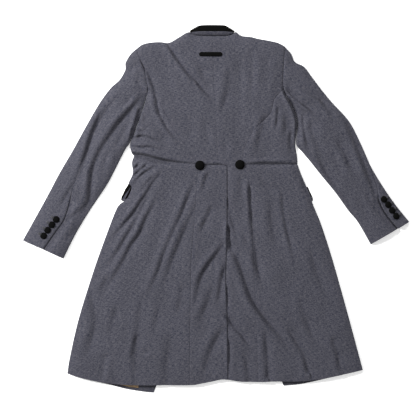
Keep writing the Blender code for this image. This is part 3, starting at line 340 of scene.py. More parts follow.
# where the right skirt drops away beside the vent's edge
VENT_CREASES = (
    (((29, -38), (35, -71), (39, -97), (49, -139)), 5, 8, 0, 0),
    (((28, -211), (29, -251), (32, -279)), 4.5, 4, 0, 0),
    (((32, -357), (35, -402), (38, -447)), 5, 4.6, 0, 0),
    (((31, 35), (31, 15), (31, -7)), 3.5, 3.2, 0, 0),
    (((32, -301), (49, -326), (69, -351)), 5, 3, 0, 0),
)
SLEEVE_CREASES_LEFT = (
    (((-195, 337), (-211, 312), (-239, 276), (-273, 237), (-301, 197), (-326, 158),
      (-343, 116), (-350, 74), (-356, 24), (-379, -13), (-413, -74)), 6.5, 6.8, -3.2, 0),
    (((-251, 343), (-279, 309), (-307, 276), (-335, 225), (-357, 169), (-374, 113), (-402, 60),
      (-433, 7)), 6.5, 3.8, -2.2, 0),
    (((-312, 295), (-329, 253), (-349, 206), (-363, 153), (-391, 94)), 5.5, 3.4, -1.8, 0),
    (((-211, 410), (-231, 393), (-248, 377)), 6, 2.4, 1.2, 0),
    (((-228, 326), (-248, 298), (-270, 276)), 5, 3, 1.4, 0),
    (((-237, 253), (-265, 200), (-290, 158)), 7, 3.2, 1.6, 0),
    (((-211, 287), (-221, 251), (-228, 220)), 3.6, 4.6, -4, 0),
    (((-227, 239), (-234, 211), (-242, 178)), 3.6, 4.4, -3.6, 0),
    (((-315, 52), (-346, 13), (-379, -38)), 7, 2.6, 1.4, 0),
    (((-368, 10), (-402, -21), (-430, -49)), 5, 2.2, -1, 0),
    (((-223, 365), (-209, 343), (-203, 321)), 4.5, 2.4, 1, 0),
    (((-374, -38), (-407, -77), (-435, -105)), 6, 1.8, 0.8, 0),
    (((-290, 175), (-309, 130), (-318, 80)), 6, 2.4, 1.2, 0),
    (((-262, 365), (-290, 343), (-312, 318)), 7, 2, -1, 0),
    (((-393, 80), (-419, 35), (-447, -10)), 5, 1.6, -0.9, 0),
)
SLEEVE_CREASES_RIGHT = (
    (((192, 340), (209, 323), (225, 309), (242, 295), (262, 281), (287, 259)), 3.6, 7, -4.6, 0),
    (((209, 349), (242, 332), (276, 315), (309, 293), (337, 265)), 4, 4, -2.6, 0),
    (((281, 315), (307, 287), (335, 245)), 4.5, 3.6, -2.2, 0),
    (((242, 276), (245, 237), (251, 197), (267, 147)), 4, 4.6, -3, 0),
    (((192, 337), (207, 307), (221, 279), (231, 251), (234, 220), (234, 181)), 5, 6, 0, 0),
    (((267, 259), (267, 225), (281, 186), (309, 136)), 7, 3.4, -1.6, 0),
    (((357, 259), (385, 197), (405, 147), (427, 91), (455, 18)), 5.5, 4.6, -2.8, 0),
    (((270, 181), (315, 94), (363, 29), (407, -35)), 6, 4.6, -2.8, 0),
    (((332, 206), (365, 147), (388, 85)), 6, 3.2, -1.8, 0),
    (((393, 35), (421, -10), (438, -49)), 6, 2.2, 1, 0),
    (((349, 270), (368, 248), (382, 220)), 5, 2, 1, 0),
    (((237, 410), (265, 382), (287, 349)), 8, 1.8, 0.9, 0),
    (((321, 164), (349, 108), (377, 63)), 7, 2.2, 1, 0),
    (((416, 52), (438, 13), (461, -21)), 5, 1.8, -0.9, 0),
)
# creases on the side that rests: points, half width, share of their height
UNDER_CREASES = (
    (((-120, 440), (-90, 370), (-40, 300)), 6, 1.0),
    (((110, 430), (80, 340), (60, 250)), 7, 0.8),
    (((-190, 210), (-150, 205), (-100, 190)), 5, 1.0),
    (((190, 200), (150, 190), (100, 180)), 5, 0.8),
    (((-190, 90), (-240, 0), (-300, -120)), 6, 1.0),
    (((-120, 40), (-180, -120), (-240, -280)), 8, 1.0),
    (((-200, -240), (-240, -360), (-260, -470)), 8, 0.8),
    (((190, 60), (250, -80), (300, -220)), 7, 1.0),
    (((100, -60), (170, -220), (250, -380)), 8, 1.0),
    (((290, -300), (320, -380), (330, -440)), 7, 0.8),
    (((-220, 330), (-300, 210), (-350, 90)), 7, 1.0),
    (((-380, 100), (-420, 20), (-460, -50)), 6, 0.9),
    (((240, 320), (300, 240), (330, 150)), 7, 1.0),
    (((340, 120), (400, 20), (450, -50)), 7, 0.9),
)

# seams: line, half width, depths along it at even steps
BODY_SEAMS = (
    (CENTRE_BACK, 1.8, (0.5, 0.5, 0.4, 0.6)),
    (((-72, 493), (-57, 488.5), (-34, 487), (16, 487), (38, 488), (50, 493)), 3.2, (2.0, 4.0, 4.0, 2.0)),
    (SIDE_BACK_LEFT, 2.2, (1.2, 1.4, 1.2, 0.7)),
    (SIDE_BACK_RIGHT, 2.2, (1.4, 1.4, 0.8, 0.4)),
    (ARMHOLE_LEFT, 2.6, (1.0, 2.0, 3.0, 2.6)),
    (UNDERARM_LEFT, 2.6, (2.0, 2.0)),
    (ARMHOLE_RIGHT, 2.6, (2.2, 2.4, 2.4, 2.2)),
    (UNDERARM_RIGHT, 2.6, (2.0, 2.0)),
    (BACK_SEAM_LEFT, 1.8, (0.3, 0.8, 1.1, 1.0, 0.8)),
    (BACK_SEAM_RIGHT, 1.8, (0.3, 0.9, 0.6, 0.6, 0.8)),
)
WAIST_SEAM = (WAIST, 2.4, (2.6, 2.8, 2.8, 2.6, 2.2, 1.6, 1.2, 1.0, 1.0, 0.9, 0.9, 0.2, 0.0, 0.6,
                           1.0, 1.0, 1.2, 1.6, 2.0, 2.4, 2.4))
SLEEVE_SEAM_DIP = (2.0, (0.3, 0.4, 0.5, 0.6, 1.4))

# pocket flaps: the outline, and the strip of cloth along the lower edge
FLAP_LEFT = ((-134, 66), (-236, 74), (-246.6, 70), (-250.6, 62.2), (-254.8, 56.8), (-259, 46.8),
             (-265.4, 33.9), (-266.8, 26.3), (-262.4, 21.8), (-257.3, 22.1), (-246, 30), (-134, 30))
FLAP_EDGE_LEFT = ((-239.4, 63.3), (-245.8, 51.8), (-253.4, 42.8), (-259, 33.9), (-263.5, 26.3),
                  (-260.4, 23), (-254, 18.5), (-140, 14), (-140, 29), (-248, 29), (-255.5, 27.5),
                  (-250.9, 37.8), (-245.8, 46.8), (-240.4, 59.4))
FLAP_RIGHT = ((258, 62), (265, 46), (271.5, 33), (146, 24), (140, 66))
FLAP_EDGE_RIGHT = ((271.6, 32.4), (272.6, 23), (146, 14), (146.4, 23.4))
LINING_LEFT = ((-330, -440), (-214, -440), (-218, -502), (-246, -499), (-322, -479))

HIP_BUTTONS = (("left", -45, 122), ("right", 67, 124))
CUFF_BUTTONS = (
    ("left", 1, -447, -29), ("left", 2, -459, -44), ("left", 3, -471, -59), ("left", 4, -482, -75),
    ("right", 1, 470, 27), ("right", 2, 482, 12), ("right", 3, 493, -4), ("right", 4, 504, -20),
)
LOOP_MIDDLE = (-15, 433)

# buttonhole bars, two beside each cuff button
BAR_DIRECTION = (0.86, 0.51)    # outwards and up the sleeve
BAR_AWAY = 11.0
BAR_APART = 1.1
BAR_LIFT = 3.0
BAR_HALF_SIZES = (6.0, 2.0, 1.8)

# half outline of a button: share of the diameter, share of the height
BUTTON_PROFILE = ((0, 0), (0.40, 0), (0.47, 0.05), (0.5, 0.16), (0.495, 0.3), (0.46, 0.5),
                  (0.39, 0.7), (0.29, 0.86), (0.16, 0.96), (0, 1))

GRAIN_MAP = "Thread"
# width and length of the flecks in the cloth, in millimetres
SLUB_SIZE = (1.6, 9.0)
SPECK_SIZE = (3.0, 3.0)
CLOUD_SIZE = (70.0, 110.0)
BRUSHED_SIZE = (6.0, 11.0)      # of the velvet's pile
FIBRE_SIZE = (0.35, 0.35)
# what a pattern gives: its gain, and the value that it starts from
LIGHT_YARN = (0.3, 0.46)
CLOTH_VALUE = (0.34, 0.83)
CLOTH_HUE = (0.08, 0.46)
CLOTH_ROUGH = (0.12, 0.78)
CLOTH_RISE = (0.3, 0.5)
PILE_ROUGH = (0.12, 0.84)
THREAD_ROUGH = (0.2, 0.5)
SPECK_GAIN, WEFT_GAIN, SLUB_MIDDLE = 0.4, 1.6, 1.5
# direction of the cloth's grain on the plan, in degrees
GRAIN = {"back_left": 0, "back_right": 0, "side_left": -14, "side_right": 12, "skirt_left": -15,
         "skirt_right": 15, "skirt_back_left": -2, "skirt_back_right": 3, "sleeve_left": -28,
         "sleeve_right": 34}

# each sleeve: outer and inner edge, seam, upper and lower armhole, creases, height of the piping
# and seed of its unevenness
SLEEVES = {
    "left": (SLEEVE_OUTER_LEFT, SLEEVE_INNER_LEFT, SLEEVE_SEAM_LEFT, ARMHOLE_LEFT, UNDERARM_LEFT,
             SLEEVE_CREASES_LEFT, 0.0, 15),
    "right": (SLEEVE_OUTER_RIGHT, SLEEVE_INNER_RIGHT, SLEEVE_SEAM_RIGHT, ARMHOLE_RIGHT,
              UNDERARM_RIGHT, SLEEVE_CREASES_RIGHT, 1.6, 14),
}

# lights: name, diameter and place in metres. Each one is aimed at the middle of the jacket.
LIGHTS = (
    ("key", 1.0, (-2.8, 1.2, 2.1)),
    ("cross", 1.0, (0.5, 2.9, 2.0)),
    ("fill", 3.0, (0.4, -0.3, 2.6)),
)
FLOOR_HALF = 2.5
FLOOR_DROP = 0.0004     # in metres, just clear of the cloth
SENSOR = 36.0           # width of the camera's sensor in its own millimetres
FRAMED_HEIGHT = 0.01    # in metres, where the picture is as wide as the photo


class JACKET_PG_cloth(bpy.types.PropertyGroup):
    """Sizes and colours of the wool cloth."""
    yarn_dark: bpy.props.FloatVectorProperty(
        name="Dark yarn", description="Colour of the navy yarn",
        subtype="COLOR", size=3, min=0, max=1, default=(0.0085, 0.009, 0.022))
    yarn_light: bpy.props.FloatVectorProperty(
        name="Light yarn", description="Colour of the pale grey yarn",
        subtype="COLOR", size=3, min=0, max=1, default=(0.083, 0.082, 0.0945))
    pitch: bpy.props.FloatProperty(
        name="Weave pitch", description="Distance from one pale fleck to the next",
        unit="LENGTH", min=0.0005, max=0.01, default=0.0018)
    wall: bpy.props.FloatProperty(
        name="Cloth thickness", description="Upright thickness of the cloth with its lining",
        unit="LENGTH", min=0.0005, max=0.004, default=0.0016)
    grid: bpy.props.FloatProperty(
        name="Grid", description="Spacing of the cloth's grid",
        unit="LENGTH", min=0.002, max=0.02, default=0.0026)
    crease: bpy.props.FloatProperty(
        name="Crease depth", description="Share of the creases' full depth",
        subtype="FACTOR", min=0, max=1.5, default=1.0)
    seam: bpy.props.FloatProperty(
        name="Seam depth", description="Share of the seams' full depth",
        subtype="FACTOR", min=0, max=1.5, default=1.0)


class JACKET_PG_trim(bpy.types.PropertyGroup):
    """Sizes and colours of the velvet trim, the lining and the buttons."""
    velvet: bpy.props.FloatVectorProperty(
        name="Velvet", description="Colour of the velvet",
        subtype="COLOR", size=3, min=0, max=1, default=(0.0022, 0.0022, 0.0021))
    satin: bpy.props.FloatVectorProperty(
        name="Lining", description="Colour of the satin lining",
        subtype="COLOR", size=3, min=0, max=1, default=(0.30, 0.19, 0.09))
    hip_button: bpy.props.FloatProperty(
        name="Hip button", description="Diameter of a hip button",
        unit="LENGTH", min=0.01, max=0.04, default=0.027)
    cuff_button: bpy.props.FloatProperty(
        name="Cuff button", description="Diameter of a cuff button",
        unit="LENGTH", min=0.01, max=0.03, default=0.019)
    loop_length: bpy.props.FloatProperty(
        name="Loop length", description="Length of the hanging loop",
        unit="LENGTH", min=0.04, max=0.1, default=0.065)
    loop_width: bpy.props.FloatProperty(
        name="Loop width", description="Width of the hanging loop",
        unit="LENGTH", min=0.006, max=0.02, default=0.012)


class JACKET_PG_stage(bpy.types.PropertyGroup):
    """Floor, light and camera."""
    floor: bpy.props.FloatVectorProperty(
        name="Floor", description="Colour of the floor",
        subtype="COLOR", size=3, min=0, max=1, default=(0.9, 0.9, 0.9))
    glow: bpy.props.FloatProperty(
        name="Floor glow", description="Light of the floor's own, as on a light table",
        min=0, max=2, default=0.4)
    key: bpy.props.FloatProperty(
        name="Key light", description="Power of the light from the upper left",
        unit="POWER", min=0, max=1000, default=245)
    cross: bpy.props.FloatProperty(
        name="Cross light", description="Power of the light from beyond the collar",
        unit="POWER", min=0, max=1000, default=60)
    fill: bpy.props.FloatProperty(
        name="Fill light", description="Power of the wide light overhead",
        unit="POWER", min=0, max=1000, default=16)
    sky: bpy.props.FloatProperty(
        name="Sky", description="Strength of the even light all round",
        min=0, max=5, default=0.32)
    height: bpy.props.FloatProperty(
        name="Camera height", description="Height of the camera above the floor",
        unit="LENGTH", min=1, max=10, default=3.0)


def smooth(points):
    """Close-set points on a smooth line through the given ones."""
    p = np.array(points, float)
    p = np.vstack([2 * p[0] - p[1], p, 2 * p[-1] - p[-2]])
    s = np.linspace(0, 1, 12, endpoint=False)[:, None]
    runs = []
    for a, b, c, d in zip(p, p[1:], p[2:], p[3:]):
        cubic = 3 * b - a - 3 * c + d
        runs.append(0.5 * (2 * b + (c - a) * s + (2 * a - 5 * b + 4 * c - d) * s**2 + cubic * s**3))
    runs.append(p[-2][None])
    return np.vstack(runs)


def runs_of(line):
    return np.concatenate([[0], np.cumsum(np.linalg.norm(np.diff(line, axis=0), axis=1))])


def length_of(points):
    return runs_of(smooth(points))[-1]


def at_runs(line, runs):
    """Points of a fine line at the given lengths along it."""
    return np.column_stack([np.interp(runs, runs_of(line), line[:, axis]) for axis in (0, 1)])


def spaced(points, shares):
    """Points at the given shares of a smooth line's length."""
    line = smooth(points)
    return at_runs(line, np.asarray(shares) * runs_of(line)[-1])


def level(points, x):
    """y of a line that runs across the garment, at x."""
    line = smooth(points)
    line = line[np.argsort(line[:, 0])]
    return np.interp(x, line[:, 0], line[:, 1])


def across(points, start_x, end_x, shares, shift=0.0):
    """Points on a line that runs across, from one x to another, moved along Y by shift."""
    x = start_x + (end_x - start_x) * np.asarray(shares)
    return np.column_stack([x, level(points, x) + shift])


def straight(start, end, shares):
    return np.asarray(start) + (np.asarray(end) - np.asarray(start)) * np.asarray(shares)[:, None]


def steps(length, grid, start=0.0):
    """Shares of a length, one step of the grid apart and closer together at both ends."""
    even = np.linspace(start, 1, max(3, int(round(length / grid))) + 1)
    close = np.array(CLOSE_ROWS) / length
    return np.unique(np.concatenate([even, start + close, 1 - close]))


def ease(value):
    """0 below 0, 1 above 1 and a soft step between."""
    value = np.clip(value, 0.0, 1.0)
    return value * value * (3 - 2 * value)


def nearest(x, y, line):
    """Distance to a line, the share of its length there, and the side, +1 on its left."""
    a = line[:-1]
    step = line[1:] - a
    length = np.linalg.norm(step, axis=1)
    dx = x[..., None] - a[:, 0]
    dy = y[..., None] - a[:, 1]
    share = np.clip((dx * step[:, 0] + dy * step[:, 1]) / length**2, 0, 1)
    away = np.hypot(dx - share * step[:, 0], dy - share * step[:, 1])
    best = away.argmin(axis=-1)[..., None]
    started = np.concatenate([[0], np.cumsum(length)])[:-1]
    run = (started + share * length) / length.sum()
    side = np.sign(step[:, 0] * dy - step[:, 1] * dx)
    return (np.take_along_axis(values, best, -1)[..., 0] for values in (away, run, side))


def near_line(x, y, line, reach):
    """Which points are within reach of a line, with their distance, share and side."""
    low, high = line.min(axis=0) - reach, line.max(axis=0) + reach
    near = (x > low[0]) & (x < high[0]) & (y > low[1]) & (y < high[1])
    return near, *nearest(x[near], y[near], line)


def crease_height(x, y, creases):
    """Height that creases add: a trough, steeper on one side, with a soft bank beside it."""
    total = np.zeros_like(x)
    for number, (points, width, depth, bank, to_hem) in enumerate(creases):
        near, away, run, side = near_line(x, y, smooth(points), CREASE_REACH * width)
        fade = ease(run / CREASE_STARTS) * (1.0 if to_hem else ease((1 - run) / CREASE_ENDS))
        uneven = 1 + CREASE_UNEVEN * np.sin(CREASE_WAVES * run + CREASE_PHASE * number)
        beside = away * side * math.copysign(1, bank or 1)
        wide = np.where(beside > 0, CREASE_STEEP, CREASE_GENTLE) * width
        sharp = 0.5 * np.exp(-(away / (CREASE_SHARP * wide))**1.6)
        broad = 0.5 * np.exp(-(away / (CREASE_BROAD * wide))**2)
        trough = depth * uneven * (sharp + broad)
        hump = np.exp(-((beside - RIDGE_AWAY * width) / (RIDGE_WIDTH * width))**2)
        total[near] += fade * (RIDGE_HEIGHT * abs(bank) * uneven * hump - trough)
    return total * settings("cloth").crease


def seam_dip(x, y, seams):
    """How far the cloth rolls down into its seams."""
    total = np.zeros_like(x)
    for points, width, depths in seams:
        near, away, run, _ = near_line(x, y, smooth(points), SEAM_REACH * width)
        depth = np.interp(run, np.linspace(0, 1, len(depths)), depths)
        total[near] = np.maximum(total[near], depth * np.exp(-away / width))
    return total * settings("cloth").seam


def crumple(x, y, size, seed):
    """Slow unevenness of the cloth, from about -1 to 1."""
    flat = zip(x.ravel() / size, y.ravel() / size)
    return np.array([noise.noise((a, b, seed)) for a, b in flat]).reshape(x.shape)


def drape(x, y):
    """Slow waves of the cloth: upright in the bodice and fanning out down the skirt."""
    reach = np.hypot(x, FAN_CENTRE - y)
    fan = np.arctan2(x, FAN_CENTRE - y)
    skirt = crumple(FAN_WAVES * fan, reach / FAN_LENGTH, 1.0, 3.0)
    bodice = crumple(x / BODICE_WAVE[0], y / BODICE_WAVE[1], 1.0, 5.0)
    share = ease((y - BODICE_FROM) / BODICE_BLEND)
    return skirt + (bodice - skirt) * share


def keep_above(z, lowest):
    """The height, softly kept above the lowest one."""
    return lowest + (np.sqrt((z - lowest)**2 + 1.0) + (z - lowest)) / 2


def rise_from(x, y, line, reach):
    """0 on a line, near 1 a few reaches away from it."""
    away, _, _ = nearest(x, y, line)
    return 1 - np.exp(-away / reach)


def body_rise(x, y):
    """0 on the outline, near 1 well inside it."""
    rise = np.ones_like(x)
    for line in (SIDE_EDGE_LEFT, SIDE_EDGE_RIGHT, SKIRT_EDGE_LEFT, SKIRT_EDGE_RIGHT):
        rise = np.minimum(rise, rise_from(x, y, smooth(line), SIDE_ROUND))
    for line in (TOP_LEFT, TOP_RIGHT):
        rise = np.minimum(rise, rise_from(x, y, smooth(line), SHOULDER_ROUND))
    return rise


def body_height(x, y):
    """Height of the back's upper side before its seams."""
    rise = body_rise(x, y)
    uneven = DRAPE * drape(x, y) + FINE_CRUMPLE * crumple(x, y, CRUMPLE_SIZE / 3, 7.0)
    z = EDGE_TOP + (BODY_TOP - EDGE_TOP) * rise + uneven * rise
    return z + crease_height(x, y, BODICE_CREASES) + crease_height(x, y, SKIRT_CREASES)


def body_top(x, y):
    """Height of the back's upper side."""
    z = body_height(x, y) - seam_dip(x, y, (*BODY_SEAMS, WAIST_SEAM))
    return keep_above(z, LOWEST_TOP)


def vent_x(y):
    """x of the vent's edge, at y."""
    line = smooth(VENT)
    return np.interp(-y, -line[:, 1], line[:, 0])


def vent_side_top(x, y):
    """Height of the left back skirt, whose edge rolls down at the vent."""
    return body_top(x, y) - VENT_ROLL * np.exp(-np.abs(x - vent_x(y)) / EDGE_ROLL)


def lapped_top(x, y):
    """Height of the right back skirt, which goes down under the left one at the vent."""
    past = x - vent_x(y)
    step = VENT_STEP + VENT_LIP[0] * np.exp(-np.abs(past) / VENT_LIP[1])
    z = body_top(x, y) - step * (1 - ease((past - 1) / VENT_RISE))
    return keep_above(z + crease_height(x, y, VENT_CREASES), SKIRT_LOWEST)


def sleeve_top(side):
    """Height function of one sleeve's upper side."""
    outer, inner, seam, armhole, _, creases, _, seed = SLEEVES[side]
    edges = smooth(outer), smooth(inner)

    def top(x, y):
        rise = np.minimum(*(rise_from(x, y, edge, SLEEVE_ROUND) for edge in edges))
        broad = CRUMPLE * crumple(x, y, SLEEVE_CRUMPLE_SIZE, seed)
        fine = SLEEVE_FINE * crumple(x, y, SLEEVE_FINE_SIZE, seed + 4)
        uneven = broad + fine
        z = EDGE_TOP + (SLEEVE_TOP - EDGE_TOP) * rise + uneven * rise
        z = z + crease_height(x, y, creases)
        z = z - seam_dip(x, y, ((armhole, *ARMHOLE_DIP), (seam, *SLEEVE_SEAM_DIP)))
        return keep_above(z, LOWEST_TOP)
    return top


def flap_lift(flap, x, y):
    """How far a front skirt is lifted where it lies on its pocket flap."""
    low, high = np.min(flap, axis=0), np.max(flap, axis=0)
    away = np.hypot(np.maximum(0, np.maximum(low[0] - x, x - high[0])),
                    np.maximum(0, np.maximum(low[1] - y, y - high[1])))
    return (FLAP_WALL + REST) * ease(1 - (away - FLAP_SPREAD) / FLAP_FADE)


def under_side(x, y):
    """Height of the side that rests: flat, with a few shallow creases pressed into it."""
    total = np.zeros_like(x)
    for points, width, share in UNDER_CREASES:
        near, away, run, _ = near_line(x, y, smooth(points), UNDER_REACH * width)
        fade = ease(run / UNDER_FADE) * ease((1 - run) / UNDER_FADE)
        total[near] = np.maximum(total[near], share * fade * np.exp(-(away / width)**2))
    return UNDER_CREASE * total


def blend(first, last, top, bottom, rows, columns):
    """A grid between two side lines, a point for a row, and two end lines, one for a column."""
    v = ((rows - rows[0]) / (rows[-1] - rows[0]))[:, None, None]
    u = ((columns - columns[0]) / (columns[-1] - columns[0]))[None, :, None]
    first, last = first[:, None, :], last[:, None, :]
    top, bottom = top[None], bottom[None]
    corners = ((1 - v) * ((1 - u) * top[:, :1] + u * top[:, -1:])
               + v * ((1 - u) * bottom[:, :1] + u * bottom[:, -1:]))
    return (1 - u) * first + u * last + (1 - v) * top + v * bottom - corners


def with_height(plan, z):
    return np.concatenate([plan, z[..., None]], axis=-1)


def moved_in(line, towards, distance):
    """A line moved towards another by a distance."""
    step = towards - line
    length = np.linalg.norm(step, axis=1, keepdims=True)
    return line + step / length * np.minimum(distance, 0.4 * length)


def grain_of(plan, angle):
    """Place of each point along the cloth's weft and warp."""
    turn = math.radians(angle)
    x, y = plan[..., 0], plan[..., 1]
    weft = x * math.cos(turn) - y * math.sin(turn)
    warp = x * math.sin(turn) + y * math.cos(turn)
    return np.stack([weft, warp], axis=-1)


def settings(kind):
    """The scene's property group: cloth, trim or stage."""
    return getattr(bpy.context.scene, f"jacket_{kind}")


def grid_size():
    return settings("cloth").grid / MM


def cloth_wall():
    return settings("cloth").wall / MM


def placed(name, data):
    """An object in the scene, in place of an earlier one of that name."""
    old = bpy.data.objects.get(name)
    if old is not None:
        bpy.data.objects.remove(old, do_unlink=True)
    made = bpy.data.objects.new(name, data)
    bpy.context.scene.collection.objects.link(made)
    return made


def finish(name, mesh, surface, node):
    """Turn a bmesh in millimetres into a named object in metres that stands for its solid."""
    bmesh.ops.scale(mesh, vec=(MM, MM, MM), verts=mesh.verts)
    bmesh.ops.recalc_face_normals(mesh, faces=mesh.faces)
    data = bpy.data.meshes.new(name)
    mesh.to_mesh(data)
    mesh.free()
    data.shade_smooth()
    data.set_sharp_from_angle(angle=math.radians(SHARP_ANGLE))
    data.materials.append(surface)
    made = placed(name, data)
    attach(made, "root")
    if node:
        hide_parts(node)
    return made


def cut_of(points):
    """Width, length and area of a grid of points laid out flat, in metres."""
    widths = np.linalg.norm(np.diff(points, axis=1), axis=-1).sum(axis=1)
    lengths = np.linalg.norm(np.diff(points, axis=0), axis=-1).sum(axis=0)
    sides = points[1:, 1:] - points[:-1, :-1], points[1:, :-1] - points[:-1, 1:]
    area = 0.5 * np.linalg.norm(np.cross(*sides), axis=-1).sum()
    return float(widths.max() * MM), float(lengths.max() * MM), float(area * MM**2)


def wall(node, outer, inner, grain, surface, slot="wool", rests_on=(), sheet=True, with_pieces=()):
    """A closed wall of cloth between an outer and an inner grid of points."""
    rows, columns = outer.shape[:2]
    outside, inside, threads = outer.reshape(-1, 3), inner.reshape(-1, 3), grain.reshape(-1, 2) * MM
    mesh = bmesh.new()
    bmesh.ops.create_grid(mesh, x_segments=columns - 1, y_segments=rows - 1, size=1.0)
    place = mesh.verts.layers.int.new("place")
    for number, vert in enumerate(mesh.verts):
        vert[place] = number
        vert.co = outside[number]
    cloth = mesh.verts[:] + mesh.edges[:] + mesh.faces[:]
    grown = bmesh.ops.extrude_face_region(mesh, geom=cloth, use_keep_orig=True)
    for vert in grown["geom"]:
        if isinstance(vert, bmesh.types.BMVert):
            vert.co = inside[vert[place]]
    thread = mesh.loops.layers.uv.new(GRAIN_MAP)
    for face in mesh.faces:
        for loop in face.loops:
            loop[thread].uv = threads[loop.vert[place]]
    mesh.verts.layers.int.remove(place)
    made = finish(f"{node}_cloth", mesh, surface, node)
    if sheet:
        width, length, area = cut_of(outer)
        area = min(area, width * length)
    return made


def panel(node, plan, top, angle, surface, **facts):
    """A panel of the upper layer, following a height function."""
    z = top(plan[..., 0], plan[..., 1])
    outer, inner = with_height(plan, z), with_height(plan, z - cloth_wall())
    return wall(node, outer, inner, grain_of(plan, angle), surface, **facts)


def folded(node, upper, lower, edge, heights, angle, surface, **facts):
    """A panel that lies on top, goes round the side edge and comes back underneath.

    upper runs from its seam to just inside the edge, and lower from there to its seam.
    """
    thick = cloth_wall()
    upper_z, lower_z = heights
    turn = upper[:, -1]
    out = edge - turn
    depth = np.linalg.norm(out, axis=1, keepdims=True)
    out = out / depth
    top, low = upper_z[:, -1], lower_z[:, 0]
    middle, half = (top + low) / 2, (top - low) / 2
    outer, inner = [with_height(upper, upper_z)], [with_height(upper, upper_z - thick)]
    for angle_out in np.radians(TURN_ANGLES):
        reach, lift = math.cos(angle_out), math.sin(angle_out)
        thin = np.maximum(depth - thick, 0.25 * depth)
        outer.append(with_height(turn + out * depth * reach, middle + half * lift)[:, None])
        inner.append(with_height(turn + out * thin * reach, middle + (half - thick) * lift)[:, None])
    outer.append(with_height(lower, lower_z))
    inner.append(with_height(lower, lower_z + thick))
    outer, inner = np.concatenate(outer, axis=1), np.concatenate(inner, axis=1)
    grain = grain_of(outer[..., :2], angle)
    last = upper.shape[1] - 1
    passed = np.linalg.norm(np.diff(outer[:, last:], axis=1), axis=-1).cumsum(axis=1)
    onward = np.sign((grain[:, last, 0] - grain[:, 0, 0]).mean())
    grain[:, last + 1:, 0] = grain[:, last:last + 1, 0] + onward * passed
    return wall(node, outer, inner, grain, surface, **facts)


def plate(node, outline, z, thickness, surface):
    """A flat piece with an outline on the plan and softened edges."""
    mesh = bmesh.new()
    face = mesh.faces.new([mesh.verts.new((x, y, z)) for x, y in outline])
    grown = bmesh.ops.extrude_face_region(mesh, geom=[face], use_keep_orig=True)
    raised = [item for item in grown["geom"] if isinstance(item, bmesh.types.BMVert)]
    bmesh.ops.translate(mesh, vec=(0, 0, thickness), verts=raised)
    bmesh.ops.bevel(mesh, geom=mesh.edges[:], offset=PLATE_BEVEL * thickness, offset_type="OFFSET",
                    affect="EDGES", segments=3, profile=0.5, material=-1)
    thread = mesh.loops.layers.uv.new(GRAIN_MAP)
    for face in mesh.faces:
        for loop in face.loops:
            loop[thread].uv = (loop.vert.co.x * MM, loop.vert.co.y * MM)
    return finish(f"{node}_cloth", mesh, surface, node)


def seat(top, x, y, radius):
    """Height and slopes of a flat seat that clears the cloth round a place."""
    angles = np.linspace(0, 2 * math.pi, SEAT_POINTS, endpoint=False)
    reach = np.repeat([radius * share for share in SEAT_RINGS], SEAT_POINTS)
    px = x + reach * np.cos(np.tile(angles, len(SEAT_RINGS)))
    py = y + reach * np.sin(np.tile(angles, len(SEAT_RINGS)))
    pz = top(px, py)
    fit = np.column_stack([px - x, py - y, np.ones_like(px)])
    slope_x, slope_y, _ = np.linalg.lstsq(fit, pz, rcond=None)[0]
    above = pz - slope_x * (px - x) - slope_y * (py - y)
    return float(np.percentile(above, SEAT_PERCENTILE)), float(slope_x), float(slope_y)


def button(node, top, x, y, diameter, height, surface):
    """A domed, covered button, turned about its axis and laid on the cloth."""
    mesh = bmesh.new()
    ring = [mesh.verts.new((share * diameter, 0, up * height)) for share, up in BUTTON_PROFILE]
    profile = ring + [mesh.edges.new(pair) for pair in zip(ring, ring[1:])]
    bmesh.ops.spin(mesh, geom=profile, axis=(0, 0, 1), cent=(0, 0, 0), steps=BUTTON_STEPS,
                   angle=2 * math.pi, use_merge=True)
    bmesh.ops.remove_doubles(mesh, verts=mesh.verts, dist=0.01)
    z, slope_x, slope_y = seat(top, x, y, diameter / 2)
    lean = Vector((0, 0, 1)).rotation_difference(Vector((-slope_x, -slope_y, 1)).normalized())
    turn = Matrix.Translation((x, y, z)) @ lean.to_matrix().to_4x4()
    bmesh.ops.transform(mesh, matrix=turn, verts=mesh.verts)
    return finish(f"{node}_cover", mesh, surface, node)


def two_part(first, second, rows, share):
    """Points on two lines that follow each other, the first one up to a share of the rows."""
    line, after = smooth(first), smooth(second)
    upper = rows <= share
    one = at_runs(line, rows[upper] / share * runs_of(line)[-1])
    two = at_runs(after, (rows[~upper] - share) / (1 - share) * runs_of(after)[-1])
    return np.vstack([one, two])


def build_back(side, top_line, armhole, side_back, cloth):
    """Back bodice from the centre-back seam to the armhole and the side-back seam."""
    grid = grid_size()
    rows = np.unique(np.append(steps(length_of(CENTRE_BACK), grid), NECK_SHARE))
    columns = steps(length_of(top_line) * BACK_WIDTH_SHARE, grid)
    centre = spaced(CENTRE_BACK, rows)
    outer = two_part(armhole, side_back, rows, NECK_SHARE)
    first, last = moved_in(centre, outer, SEAM / 2), moved_in(outer, centre, SEAM / 2)
    top = spaced(top_line, columns)
    top[0], top[-1] = first[0], last[0]
    bottom = across(WAIST, first[-1, 0], last[-1, 0], columns, SEAM / 2)
    first[-1], last[-1] = bottom[0], bottom[-1]
    plan = blend(first, last, top, bottom, rows, columns)
    node = f"back_{side}"
    panel(node, plan, body_top, GRAIN[node], cloth, rests_on=("front_left", "front_right"))


